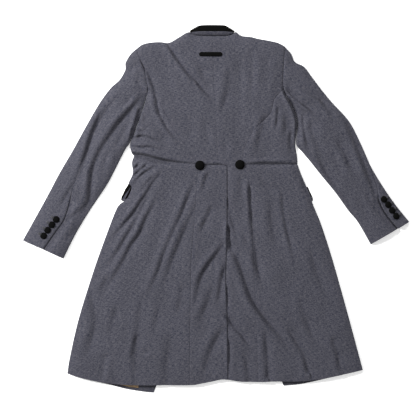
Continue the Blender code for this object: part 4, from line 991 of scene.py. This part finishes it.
def build_side(side, side_back, underarm, side_edge, under_seam, cloth):
    """Side body, folded round the side edge from the back to the front."""
    grid = grid_size()
    rows = steps(length_of(side_back), grid, SIDE_START)
    seam = spaced(side_back, rows)
    edge = two_part(underarm, side_edge, rows, UNDERARM_SHARE)
    under = spaced(under_seam, rows)
    turn = moved_in(edge, seam, EDGE_DEPTH)
    seam = moved_in(seam, edge, SEAM / 2)
    under = moved_in(under, edge, SEAM)
    many, few = steps(SIDE_WIDTHS[0], grid), steps(SIDE_WIDTHS[1], 2 * grid)
    waist_top = across(WAIST, seam[-1, 0], turn[-1, 0], many, SEAM / 2)
    waist_low = across(WAIST, turn[-1, 0], under[-1, 0], few, SEAM / 2)
    seam[-1], under[-1], turn[-1] = waist_top[0], waist_low[-1], waist_top[-1]
    edge[-1, 1] = waist_top[-1, 1]
    upper = blend(seam, turn, straight(seam[0], turn[0], many), waist_top, rows, many)
    lower = blend(turn, under, straight(turn[0], under[0], few), waist_low, rows, few)
    heights = body_top(upper[..., 0], upper[..., 1]), under_side(lower[..., 0], lower[..., 1])
    node = f"side_{side}"
    folded(node, upper, lower, edge, heights, GRAIN[node], cloth)


def build_front(side, top_line, armhole, under_seam, cloth):
    """Front bodice, from the shoulder to the waist, with its outer side down."""
    grid = 2 * grid_size()
    rows = np.unique(np.append(steps(FRONT_LENGTH, grid), NECK_SHARE))
    columns = steps(FRONT_WIDTH, grid)
    outer = two_part(armhole, under_seam, rows, NECK_SHARE)
    centre_x = top_line[0][0]
    first = straight(top_line[0], (centre_x, level(WAIST, centre_x) + SEAM / 2), rows)
    last = moved_in(outer, first, SEAM)
    top = spaced(top_line, columns)
    top[-1] = last[0]
    bottom = across(WAIST, centre_x, last[-1, 0], columns, SEAM / 2)
    last[-1] = bottom[-1]
    plan = blend(first, last, top, bottom, rows, columns)
    z = under_side(plan[..., 0], plan[..., 1])
    wall(f"front_{side}", with_height(plan, z), with_height(plan, z + cloth_wall()),
         grain_of(plan, 0), cloth)


def build_skirt(side, edge_line, back_seam, front_edge, hem_front, flap, cloth):
    """Side skirt, from the back seam round the side edge to the front edge."""
    grid = grid_size()
    rows = steps(length_of(edge_line), grid)
    seam, edge, front = (spaced(line, rows) for line in (back_seam, edge_line, front_edge))
    turn = moved_in(edge, seam, EDGE_DEPTH)
    seam = moved_in(seam, edge, SEAM / 2)
    many, few = steps(SKIRT_WIDTHS[0], grid), steps(SKIRT_WIDTHS[1], 3 * grid)
    waist_top = across(WAIST, seam[0, 0], turn[0, 0], many, -SEAM / 2)
    waist_low = across(WAIST, turn[0, 0], front[0, 0], few, -SEAM / 2)
    hem_top = across(HEM_BACK, seam[-1, 0], turn[-1, 0], many)
    hem_low = across(hem_front, turn[-1, 0], front[-1, 0], few)
    seam[0], turn[0], front[0] = waist_top[0], waist_top[-1], waist_low[-1]
    seam[-1], turn[-1], front[-1] = hem_top[0], hem_top[-1], hem_low[-1]
    hem_low[0] = turn[-1]
    edge[0, 1] = turn[0, 1]
    upper = blend(seam, turn, waist_top, hem_top, rows, many)
    lower = blend(turn, front, waist_low, hem_low, rows, few)
    low_x, low_y = lower[..., 0], lower[..., 1]
    lower_z = flap_lift(flap, low_x, low_y) + under_side(low_x, low_y)
    heights = body_top(upper[..., 0], upper[..., 1]), lower_z
    node = f"skirt_{side}"
    folded(node, upper, lower, edge, heights, GRAIN[node], cloth)


def build_back_skirts(cloth):
    """Centre-back skirts. The left one ends at the vent and the right one goes on under it."""
    grid = grid_size()
    rows = steps(length_of(VENT), grid)
    vent = spaced(VENT, rows)
    for side, seam_line, start, wide, top in (
            ("left", BACK_SEAM_LEFT, vent.copy(), BACK_SKIRT_WIDTHS[0], vent_side_top),
            ("right", BACK_SEAM_RIGHT, vent - (VENT_UNDERLAP, 0), BACK_SKIRT_WIDTHS[1], lapped_top)):
        columns = steps(wide, grid)
        seam = moved_in(spaced(seam_line, rows), start, SEAM / 2)
        waist = across(WAIST, start[0, 0], seam[0, 0], columns, -SEAM / 2)
        hem = across(HEM_BACK, start[-1, 0], seam[-1, 0], columns)
        start[0], seam[0] = waist[0], waist[-1]
        start[-1], seam[-1] = hem[0], hem[-1]
        node = f"skirt_back_{side}"
        plan = blend(start, seam, waist, hem, rows, columns)
        panel(node, plan, top, GRAIN[node], cloth, rests_on=("skirt_left", "skirt_right"))


def sleeve_part(line, seam, under, shift, arm, places, along, rows, many, few):
    """Upper and lower grid of a top or an under sleeve, and the edge that it goes round.

    places are the lengths along the armhole of the seam, the edge and the under seam, and shift
    moves the upper grid's seam.
    """
    corner, turned, middle = places
    turn = moved_in(line, seam, EDGE_DEPTH)
    upper_zero = at_runs(arm, corner + (turned - corner) * many) + along
    lower_zero = at_runs(arm, turned + (middle - turned) * few) + along
    edge = line.copy()
    edge[0] = edge[0] + along
    first = moved_in(seam, line, SEAM / 2) + shift
    last = moved_in(under, line, SEAM / 2)
    first[0], turn[0], last[0] = upper_zero[0], upper_zero[-1], lower_zero[-1]
    upper = blend(first, turn, upper_zero, straight(first[-1], turn[-1], many), rows, many)
    lower = blend(turn, last, lower_zero, straight(turn[-1], last[-1], few), rows, few)
    return upper, lower, edge


def build_sleeve(side, cloth):
    """Two-piece sleeve: the top and the under sleeve, each folded round one edge."""
    outer_line, inner_line, seam_line, armhole, underarm, _, welt, _ = SLEEVES[side]
    grid, top, name = grid_size(), sleeve_top(side), f"sleeve_{side}"
    rows = steps(length_of(outer_line), grid)
    outer, inner, seam = (spaced(line, rows) for line in (outer_line, inner_line, seam_line))
    upper_arm, lower_arm = smooth(armhole), smooth(underarm)
    arm = np.vstack([upper_arm, lower_arm[1:]])
    corner, end = runs_of(upper_arm)[-1], runs_of(arm)[-1]
    middle = UNDER_START * corner
    along = (outer[3] + inner[3]) / 2 - (outer[0] + inner[0]) / 2
    along = SEAM * along / np.linalg.norm(along)
    outer[0], inner[0], seam[0] = arm[0], arm[-1], upper_arm[-1]
    under = outer + UNDER_SHARE * (inner - outer)
    under[0] = at_runs(arm, [middle])[0]
    lap = CUFF_LAP * ease((rows - CUFF_VENT_FROM) / LAP_FADE)[:, None]
    drop = CUFF_DROP * ease((rows - CUFF_DROP_FROM) / DROP_FADE)[:, None]
    piped = welt * ease((rows - CUFF_VENT_FROM) / PIPING_FADE)[:, None]

    many, few = steps(TOP_SLEEVE_WIDTHS[0], grid), steps(TOP_SLEEVE_WIDTHS[1], 2 * grid)
    places = corner, EDGE_DEPTH, middle
    upper, lower, edge = sleeve_part(outer, seam, under, 0.0, arm, places, along, rows, many, few)
    past = np.linalg.norm(upper - upper[:, :1], axis=-1)
    upper_z = top(upper[..., 0], upper[..., 1]) - (drop > 0) * CUFF_ROLL * np.exp(-past / EDGE_ROLL)
    upper_z = upper_z + piped * np.exp(-((past - PIPING_AWAY) / PIPING_WIDTH)**2)
    heights = upper_z, under_side(lower[..., 0], lower[..., 1])
    folded(f"top_{name}", upper, lower, edge, heights, GRAIN[name], cloth)

    out = outer - seam
    out[0] = (0, 1)
    shift = out / np.linalg.norm(out, axis=1, keepdims=True) * lap
    many, few = steps(UNDER_SLEEVE_WIDTHS[0], grid), steps(UNDER_SLEEVE_WIDTHS[1], 2 * grid)
    places = corner, end - EDGE_DEPTH, middle
    upper, lower, edge = sleeve_part(inner, seam, under, shift, arm, places, along, rows, many, few)
    past = np.linalg.norm(upper - upper[:, :1], axis=-1) - lap
    dropped = drop * ease((1.5 * CUFF_DROP_WIDTH - past) / CUFF_DROP_WIDTH)
    groove = PIPING_GROOVE * piped * np.exp(-((past - GROOVE_AWAY) / GROOVE_WIDTH)**2)
    upper_z = top(upper[..., 0], upper[..., 1]) - dropped - groove
    heights = keep_above(upper_z, LOWEST_TOP - 1.0), under_side(lower[..., 0], lower[..., 1])
    folded(f"under_{name}", upper, lower, edge, heights, GRAIN[name], cloth)


def build_collar(cloth, velvet):
    """Collar roll in velvet, with a strip of the jacket's cloth along its outer edge."""
    rows = steps(length_of(COLLAR_ROLL), COLLAR_GRID)
    seam, roll, inside = (spaced(line, rows) for line in (COLLAR_SEAM, COLLAR_ROLL, COLLAR_INSIDE))
    turn = moved_in(roll, seam, COLLAR_DEPTH)
    ends = ease(np.minimum(rows, 1 - rows) / COLLAR_ENDS)[:, None]

    x = COLLAR_STRIP[0] + (COLLAR_STRIP[1] - COLLAR_STRIP[0]) * rows
    neck = np.vstack([TOP_LEFT[::-1], TOP_RIGHT[1:]]).astype(float)
    low = np.column_stack([x, np.interp(x, neck[:, 0], neck[:, 1]) + 2 * SEAM])
    high = np.column_stack([x, level(COLLAR_SEAM, x) - 2 * SEAM])
    few = np.array(STRIP_COLUMNS)
    plan = blend(low, high, straight(low[0], high[0], few), straight(low[-1], high[-1], few),
                 rows, few)
    low_z = STRIP_START + STRIP_SWELL * ends
    high_z = COLLAR_TOP - COLLAR_LIFT + STRIP_RISE * ends
    dip = STRIP_DIP * np.exp(-(1 - few) / STRIP_DIP_REACH)
    z = low_z + (high_z - low_z) * few**STRIP_CURVE - dip
    strip = wall("collar_edge", with_height(plan, z), with_height(plan, z - cloth_wall()),
                 grain_of(plan, 0), cloth, sheet=False)

    columns = np.array(VELVET_COLUMNS)
    upper = blend(seam, turn, straight(seam[0], turn[0], columns),
                  straight(seam[-1], turn[-1], columns), rows, columns)
    lower = blend(turn, inside, straight(turn[0], inside[0], columns),
                  straight(turn[-1], inside[-1], columns), rows, columns)
    dip = CROWN_DIP * np.exp(-columns / CROWN_DIP_REACH)
    crown = CROWN + CROWN_SWELL * np.sin(0.9 * math.pi * columns) - dip
    upper_z = COLLAR_TOP - COLLAR_LIFT + COLLAR_LIFT * ends * crown
    uneven, size = COLLAR_CRUMPLE
    upper_z = upper_z + uneven * crumple(upper[..., 0], upper[..., 1], size, 2.0)
    heights = upper_z, np.zeros(lower.shape[:2])
    folded("collar_velvet", upper, lower, roll, heights, 0, velvet, slot="velvet",
           with_pieces=(strip,))


def build_loop(velvet):
    """Hanging loop: a short strap, rounded at both ends, that stands off the cloth between them."""
    x, y = LOOP_MIDDLE
    trim = settings("trim")
    long, wide = trim.loop_length / MM, trim.loop_width / MM
    run = long / 2 * np.sin(np.linspace(-math.pi / 2, math.pi / 2, LOOP_ROWS))
    past = np.maximum(0, np.abs(run) - (long - wide) / 2) / (wide / 2)
    half = wide / 2 * np.sqrt(np.maximum(1 - past**2, 0.04))
    ends = [seat(body_top, x + reach, y, wide * 0.6)[0] + REST for reach in (run[2], run[-3])]
    height = np.interp(run, (run[0], run[-1]), ends) + LOOP_ARCH * (1 - (run / run[-1])**2)
    beside = np.sin(np.linspace(-math.pi / 2, math.pi / 2, LOOP_COLUMNS))
    plan = np.stack([np.repeat((x + run)[:, None], LOOP_COLUMNS, axis=1),
                     y + half[:, None] * beside], -1)
    across_it = np.sqrt(np.maximum(1 - np.abs(beside)**3, 0))
    crown = LOOP_THICKNESS * (LOOP_RIM + (1 - LOOP_RIM) * across_it)
    rim = np.sqrt(np.maximum(1 - past**4, 0.0))[:, None]
    z = np.repeat(height[:, None], LOOP_COLUMNS, axis=1)
    lifted = z + crown * (LOOP_END + (1 - LOOP_END) * rim)
    uneven, size = LOOP_CRUMPLE
    lifted = lifted + uneven * crumple(plan[..., 0], plan[..., 1], size, 5.0)
    wall("hanging_loop", with_height(plan, lifted), with_height(plan, z), plan, velvet,
         slot="velvet", rests_on=("back_left", "back_right"))


def build_buttonholes(side, thread):
    """Corded buttonhole bars, partly sunk in the cloth, two beside each cuff button."""
    mesh, top = bmesh.new(), sleeve_top(side)
    away = np.array(BAR_DIRECTION)
    away[0] *= -1 if side == "left" else 1
    across_bar = np.array([-away[1], away[0]])
    turn = Matrix.Rotation(math.atan2(away[1], away[0]), 4, "Z")
    form = Matrix.Diagonal((*BAR_HALF_SIZES, 1.0))
    for x, y in (place[2:] for place in CUFF_BUTTONS if place[0] == side):
        for beside in (-BAR_APART, BAR_APART):
            middle = np.array([x, y]) + away * BAR_AWAY + beside * across_bar
            z = float(top(middle[:1], middle[1:])[0]) + BAR_LIFT
            bar = bmesh.ops.create_uvsphere(mesh, u_segments=12, v_segments=8, radius=1.0)["verts"]
            bmesh.ops.transform(mesh, matrix=Matrix.Translation((*middle, z)) @ turn @ form, verts=bar)
    finish(f"buttonholes_{side}", mesh, thread, None)


def add(tree, kind, inputs=(), **facts):
    """A node with its settings, and its inputs set or linked by index or name."""
    made = tree.nodes.new(kind)
    made.location = (190 * (len(tree.nodes) % 12), -230 * (len(tree.nodes) // 12))
    for key, value in facts.items():
        setattr(made, key, value)
    for key, value in dict(inputs).items():
        if isinstance(value, bpy.types.NodeSocket):
            tree.links.new(value, made.inputs[key])
        else:
            made.inputs[key].default_value = value
    return made


def maths(tree, operation, *values):
    return add(tree, "ShaderNodeMath", dict(enumerate(values)), operation=operation).outputs[0]


def stretched(tree, vector, across_mm, along_mm):
    """The vector in units of a yarn's width one way and of its length the other way."""
    scale = (1 / (across_mm * MM), 1 / (along_mm * MM), 1 / (across_mm * MM))
    return add(tree, "ShaderNodeVectorMath", {0: vector, 1: scale}, operation="MULTIPLY").outputs[0]


def noise_of(tree, vector, detail=2.0, roughness=0.6):
    facts = {"Vector": vector, "Scale": 1.0, "Detail": detail, "Roughness": roughness}
    return add(tree, "ShaderNodeTexNoise", facts).outputs[0]


def mixed(tree, factor, first, second):
    """A colour between two, by the mix node's factor and its two colour sockets."""
    facts = {0: factor, 6: first, 7: second}
    return add(tree, "ShaderNodeMix", facts, data_type="RGBA").outputs[2]


def group(name, inputs, outputs):
    """A shader node group with its named sockets, and its two end nodes."""
    made = bpy.data.node_groups.new(name, "ShaderNodeTree")
    for label, kind, value in inputs:
        socket = made.interface.new_socket(name=label, in_out="INPUT", socket_type=kind)
        if value is not None:
            socket.default_value = value
    for label, kind in outputs:
        made.interface.new_socket(name=label, in_out="OUTPUT", socket_type=kind)
    return made, add(made, "NodeGroupInput").outputs, add(made, "NodeGroupOutput").inputs


PATTERN_SOCKETS = (("Color", "NodeSocketColor"), ("Roughness", "NodeSocketFloat"),
                   ("Height", "NodeSocketFloat"))


def weave_group():
    """Two yarns woven in fine flecks: colour, roughness and height from the thread map."""
    name = "Two-yarn weave"
    if name in bpy.data.node_groups:
        return bpy.data.node_groups[name]
    tree, given, result = group(name, (
        ("Vector", "NodeSocketVector", None),
        ("Pitch", "NodeSocketFloat", 0.0018),
        ("Dark yarn", "NodeSocketColor", (0, 0, 0, 1)),
        ("Light yarn", "NodeSocketColor", (1, 1, 1, 1)),
        ("Slub", "NodeSocketFloat", 0.5),
    ), PATTERN_SOCKETS)
    thread = given["Vector"]
    turns = maths(tree, "DIVIDE", 2 * math.pi, given["Pitch"])
    wound = add(tree, "ShaderNodeVectorMath", {0: thread, 3: turns}, operation="SCALE").outputs[0]
    parts = add(tree, "ShaderNodeSeparateXYZ", {0: wound}).outputs
    flecks = maths(tree, "MULTIPLY", maths(tree, "SINE", parts[0]), maths(tree, "SINE", parts[1]))
    warp = noise_of(tree, stretched(tree, thread, *SLUB_SIZE), 1.0)
    weft = noise_of(tree, stretched(tree, thread, *SLUB_SIZE[::-1]), 1.0)
    speck = noise_of(tree, stretched(tree, thread, *SPECK_SIZE), 1.0)
    cloud = noise_of(tree, stretched(tree, thread, *CLOUD_SIZE), 2.0)
    threads = maths(tree, "MULTIPLY_ADD", weft, WEFT_GAIN, warp)
    slubs = maths(tree, "MULTIPLY_ADD", speck, SPECK_GAIN, threads)
    uneven = maths(tree, "MULTIPLY", maths(tree, "SUBTRACT", slubs, SLUB_MIDDLE), given["Slub"])
    share = maths(tree, "ADD", maths(tree, "MULTIPLY_ADD", flecks, *LIGHT_YARN), uneven)
    share = add(tree, "ShaderNodeClamp", {0: share}).outputs[0]
    colour = mixed(tree, share, given["Dark yarn"], given["Light yarn"])
    worn = maths(tree, "MULTIPLY_ADD", cloud, *CLOTH_VALUE)
    hue = maths(tree, "MULTIPLY_ADD", weft, *CLOTH_HUE)
    tinted = add(tree, "ShaderNodeHueSaturation", {"Color": colour, "Value": worn, "Hue": hue})
    tree.links.new(tinted.outputs[0], result["Color"])
    tree.links.new(maths(tree, "MULTIPLY_ADD", speck, *CLOTH_ROUGH), result["Roughness"])
    rise = maths(tree, "ADD", maths(tree, "MULTIPLY_ADD", flecks, *CLOTH_RISE), uneven)
    tree.links.new(rise, result["Height"])
    return tree


def pile_group():
    """Short velvet pile: where it is brushed up, and its height."""
    name = "Brushed pile"
    if name in bpy.data.node_groups:
        return bpy.data.node_groups[name]
    tree, given, result = group(name, (
        ("Vector", "NodeSocketVector", None),
        ("Low", "NodeSocketColor", (0, 0, 0, 1)),
        ("High", "NodeSocketColor", (1, 1, 1, 1)),
    ), PATTERN_SOCKETS)
    brushed = noise_of(tree, stretched(tree, given["Vector"], *BRUSHED_SIZE), 3.0)
    fibre = noise_of(tree, stretched(tree, given["Vector"], *FIBRE_SIZE), 1.0)
    share = maths(tree, "MULTIPLY", brushed, fibre)
    tree.links.new(mixed(tree, share, given["Low"], given["High"]), result["Color"])
    tree.links.new(maths(tree, "MULTIPLY_ADD", brushed, *PILE_ROUGH), result["Roughness"])
    tree.links.new(maths(tree, "ADD", fibre, brushed), result["Height"])
    return tree


def principled(name, sheen=0.0, sheen_roughness=0.5, specular=0.5, anisotropic=0.0):
    """A material with its even values set on the shader, or the one that is already made."""
    made = bpy.data.materials.get(name)
    if made is not None:
        return made, None, None
    made = bpy.data.materials.new(name)
    made.use_nodes = True
    shader = made.node_tree.nodes["Principled BSDF"]
    shader.inputs["Sheen Weight"].default_value = sheen
    shader.inputs["Sheen Roughness"].default_value = sheen_roughness
    shader.inputs["Specular IOR Level"].default_value = specular
    shader.inputs["Anisotropic"].default_value = anisotropic
    return made, made.node_tree, shader


def dress(tree, shader, pattern, depth, strength=0.6, polish=0.0):
    """Links a pattern group's colour, roughness and height to the shader."""
    bump = add(tree, "ShaderNodeBump", {"Height": pattern.outputs["Height"], "Strength": strength,
                                       "Distance": depth})
    rough = maths(tree, "SUBTRACT", pattern.outputs["Roughness"], polish)
    tree.links.new(pattern.outputs["Color"], shader.inputs["Base Color"])
    tree.links.new(rough, shader.inputs["Roughness"])
    tree.links.new(bump.outputs[0], shader.inputs["Normal"])


def woven(tree, pitch, dark, light, slub):
    """The weave laid along the cloth's grain, with its own yarns."""
    pattern = add(tree, "ShaderNodeGroup", node_tree=weave_group())
    tree.links.new(add(tree, "ShaderNodeUVMap", uv_map=GRAIN_MAP).outputs[0],
                   pattern.inputs["Vector"])
    pattern.inputs["Pitch"].default_value = pitch
    pattern.inputs["Dark yarn"].default_value = (*dark, 1)
    pattern.inputs["Light yarn"].default_value = (*light, 1)
    pattern.inputs["Slub"].default_value = slub
    return pattern


def wool():
    """Matt, fine wool cloth."""
    made, tree, shader = principled("Fine wool", sheen=0.04, sheen_roughness=0.5, specular=0.2)
    if tree is not None:
        cloth = settings("cloth")
        pattern = woven(tree, cloth.pitch, cloth.yarn_dark, cloth.yarn_light, 1.0)
        dress(tree, shader, pattern, 0.0003)
    return made


def velvet():
    """Black velvet with a short pile."""
    made, tree, shader = principled("Black velvet", sheen=0.015, sheen_roughness=0.35, specular=0.02)
    if tree is not None:
        dark = settings("trim").velvet
        place = add(tree, "ShaderNodeTexCoord").outputs["Object"]
        pattern = add(tree, "ShaderNodeGroup", node_tree=pile_group())
        tree.links.new(place, pattern.inputs["Vector"])
        pattern.inputs["Low"].default_value = (*dark, 1)
        pattern.inputs["High"].default_value = (*(2.6 * part for part in dark), 1)
        dress(tree, shader, pattern, 0.0004)
    return made


def satin():
    """Bronze satin of the lining."""
    made, tree, shader = principled("Bronze satin", sheen=0.0, specular=0.6, anisotropic=0.5)
    if tree is not None:
        colour = settings("trim").satin
        dark, light = ([share * part for part in colour] for share in (0.75, 1.25))
        pattern = woven(tree, 0.0006, dark, light, 0.4)
        dress(tree, shader, pattern, 0.0001, strength=0.3, polish=0.4)
    return made


def dark_thread():
    """Twisted thread of the buttonholes."""
    made, tree, shader = principled("Dark thread", sheen=0.1, specular=0.4)
    if tree is not None:
        place = add(tree, "ShaderNodeTexCoord").outputs["Object"]
        twist = noise_of(tree, stretched(tree, place, 0.4, 0.4))
        colour = mixed(tree, twist, (0.006, 0.006, 0.008, 1), (0.02, 0.02, 0.026, 1))
        bump = add(tree, "ShaderNodeBump", {"Height": twist, "Strength": 0.5, "Distance": 0.0003})
        tree.links.new(colour, shader.inputs["Base Color"])
        tree.links.new(maths(tree, "MULTIPLY_ADD", twist, *THREAD_ROUGH), shader.inputs["Roughness"])
        tree.links.new(bump.outputs[0], shader.inputs["Normal"])
    return made


def floor_paint():
    """Pale floor that glows a little, as a light table does."""
    made, tree, shader = principled("Pale floor", specular=0.1)
    if tree is not None:
        pale = settings("stage").floor
        place = add(tree, "ShaderNodeTexCoord").outputs["Object"]
        cloud = noise_of(tree, stretched(tree, place, 500.0, 500.0), 1.0)
        colour = mixed(tree, cloud, (*(0.985 * part for part in pale), 1), (*pale, 1))
        tree.links.new(colour, shader.inputs["Base Color"])
        tree.links.new(colour, shader.inputs["Emission Color"])
        shader.inputs["Emission Strength"].default_value = settings("stage").glow
        shader.inputs["Roughness"].default_value = 0.8
    return made


class JACKET_OT_bodice(bpy.types.Operator):
    """Makes the back, the side bodies and the fronts of the bodice"""
    bl_idname = "jacket.bodice"
    bl_label = "Bodice"

    def execute(self, context):
        cloth = wool()
        build_back("left", TOP_LEFT, ARMHOLE_LEFT, SIDE_BACK_LEFT, cloth)
        build_back("right", TOP_RIGHT, ARMHOLE_RIGHT, SIDE_BACK_RIGHT, cloth)
        build_side("left", SIDE_BACK_LEFT, UNDERARM_LEFT, SIDE_EDGE_LEFT, UNDER_SEAM_LEFT, cloth)
        build_side("right", SIDE_BACK_RIGHT, UNDERARM_RIGHT, SIDE_EDGE_RIGHT, UNDER_SEAM_RIGHT, cloth)
        build_front("left", FRONT_TOP_LEFT, ARMHOLE_LEFT, UNDER_SEAM_LEFT, cloth)
        build_front("right", FRONT_TOP_RIGHT, ARMHOLE_RIGHT, UNDER_SEAM_RIGHT, cloth)
        return {"FINISHED"}


class JACKET_OT_skirt(bpy.types.Operator):
    """Makes the side skirts and the centre-back skirts with their vent"""
    bl_idname = "jacket.skirt"
    bl_label = "Skirt"

    def execute(self, context):
        cloth = wool()
        build_skirt("left", SKIRT_EDGE_LEFT, BACK_SEAM_LEFT, FRONT_EDGE_LEFT, HEM_FRONT_LEFT,
                    FLAP_LEFT, cloth)
        build_skirt("right", SKIRT_EDGE_RIGHT, BACK_SEAM_RIGHT, FRONT_EDGE_RIGHT, HEM_FRONT_RIGHT,
                    FLAP_RIGHT, cloth)
        build_back_skirts(cloth)
        return {"FINISHED"}


class JACKET_OT_sleeves(bpy.types.Operator):
    """Makes the two-piece sleeves and their buttonholes"""
    bl_idname = "jacket.sleeves"
    bl_label = "Sleeves"

    def execute(self, context):
        cloth, thread = wool(), dark_thread()
        for side in SLEEVES:
            build_sleeve(side, cloth)
            build_buttonholes(side, thread)
        return {"FINISHED"}


class JACKET_OT_collar(bpy.types.Operator):
    """Makes the velvet collar, its cloth edge and the hanging loop"""
    bl_idname = "jacket.collar"
    bl_label = "Collar and loop"

    def execute(self, context):
        build_collar(wool(), velvet())
        build_loop(velvet())
        return {"FINISHED"}


class JACKET_OT_buttons(bpy.types.Operator):
    """Makes the covered buttons at the hips and the cuffs"""
    bl_idname = "jacket.buttons"
    bl_label = "Buttons"

    def execute(self, context):
        trim, pile = settings("trim"), velvet()
        for side, x, y in HIP_BUTTONS:
            button(f"hip_button_{side}", body_top, x, y, trim.hip_button / MM,
                   HIP_BUTTON_HEIGHT, pile)
        for side, number, x, y in CUFF_BUTTONS:
            button(f"cuff_button_{side}_{number}", sleeve_top(side), x, y,
                   trim.cuff_button / MM, CUFF_BUTTON_HEIGHT, pile)
        return {"FINISHED"}


class JACKET_OT_flaps(bpy.types.Operator):
    """Makes the pocket flaps with their cloth edge, and the lining that shows at the hem"""
    bl_idname = "jacket.flaps"
    bl_label = "Flaps and lining"

    def execute(self, context):
        cloth, pile = wool(), velvet()
        pile_top = FLAP_SHARE * FLAP_WALL
        for side, flap, edge in (("left", FLAP_LEFT, FLAP_EDGE_LEFT),
                                 ("right", FLAP_RIGHT, FLAP_EDGE_RIGHT)):
            strip = plate(f"flap_edge_{side}", edge, pile_top, FLAP_WALL - pile_top, cloth)
            body = plate(f"flap_{side}", flap, 0.0, pile_top - SEAM, pile)
        lining = plate("lining_left", LINING_LEFT, cloth_wall() + SEAM, LINING_WALL, satin())
        return {"FINISHED"}


class JACKET_OT_stage(bpy.types.Operator):
    """Makes the floor, the light and the camera straight above"""
    bl_idname = "jacket.stage"
    bl_label = "Stage"

    def execute(self, context):
        facts = settings("stage")
        mesh = bmesh.new()
        bmesh.ops.create_grid(mesh, x_segments=4, y_segments=4, size=FLOOR_HALF)
        bmesh.ops.translate(mesh, vec=(0, 0, -FLOOR_DROP), verts=mesh.verts)
        data = bpy.data.meshes.new("floor")
        mesh.to_mesh(data)
        mesh.free()
        data.materials.append(floor_paint())
        floor = placed("floor", data)

        for name, size, place in LIGHTS:
            lamp = bpy.data.lights.new(name, "AREA")
            lamp.shape, lamp.size, lamp.energy = "DISK", size, getattr(facts, name)
            made = placed(name, lamp)
            made.location = place
            made.rotation_euler = (-Vector(place)).to_track_quat("-Z", "Y").to_euler()

        world = bpy.data.worlds.new("studio")
        world.use_nodes = True
        light = world.node_tree.nodes["Background"].inputs
        light[0].default_value = (1, 1, 1, 1)
        light[1].default_value = facts.sky
        context.scene.world = world

        lens = bpy.data.cameras.new("above")
        lens.sensor_width = SENSOR
        lens.lens = SENSOR * (facts.height - FRAMED_HEIGHT) / (PHOTO_WIDTH * MM)
        camera = placed("above", lens)
        camera.location = (PHOTO_MIDDLE[0] * MM, PHOTO_MIDDLE[1] * MM, facts.height)
        context.scene.camera = camera
        context.scene.view_settings.view_transform = "Standard"
        return {"FINISHED"}


OPERATORS = (JACKET_OT_bodice, JACKET_OT_skirt, JACKET_OT_sleeves, JACKET_OT_collar,
             JACKET_OT_buttons, JACKET_OT_flaps, JACKET_OT_stage)
GROUPS = {"cloth": JACKET_PG_cloth, "trim": JACKET_PG_trim, "stage": JACKET_PG_stage}


class JACKET_PT_sidebar(bpy.types.Panel):
    """Sizes, colours and pieces of the jacket"""
    bl_label = "Long jacket"
    bl_idname = "JACKET_PT_sidebar"
    bl_space_type = "VIEW_3D"
    bl_region_type = "UI"
    bl_category = "Jacket"

    def draw(self, context):
        for name, kind in GROUPS.items():
            box = self.layout.box()
            box.label(text=name.capitalize())
            for label in kind.__annotations__:
                box.prop(getattr(context.scene, f"jacket_{name}"), label)
        for operator in OPERATORS:
            self.layout.operator(operator.bl_idname)


CLASSES = (*GROUPS.values(), *OPERATORS, JACKET_PT_sidebar)


def register():
    for kind in CLASSES:
        bpy.utils.register_class(kind)
    for name, kind in GROUPS.items():
        setattr(bpy.types.Scene, f"jacket_{name}", bpy.props.PointerProperty(type=kind))


def unregister():
    for name in GROUPS:
        delattr(bpy.types.Scene, f"jacket_{name}")
    for kind in reversed(CLASSES):
        bpy.utils.unregister_class(kind)


def main():
    register()
    bpy.ops.jacket.bodice()
    bpy.ops.jacket.skirt()
    bpy.ops.jacket.sleeves()
    bpy.ops.jacket.collar()
    bpy.ops.jacket.buttons()
    bpy.ops.jacket.flaps()
    bpy.ops.jacket.stage()


if __name__ == "__main__":
    main()
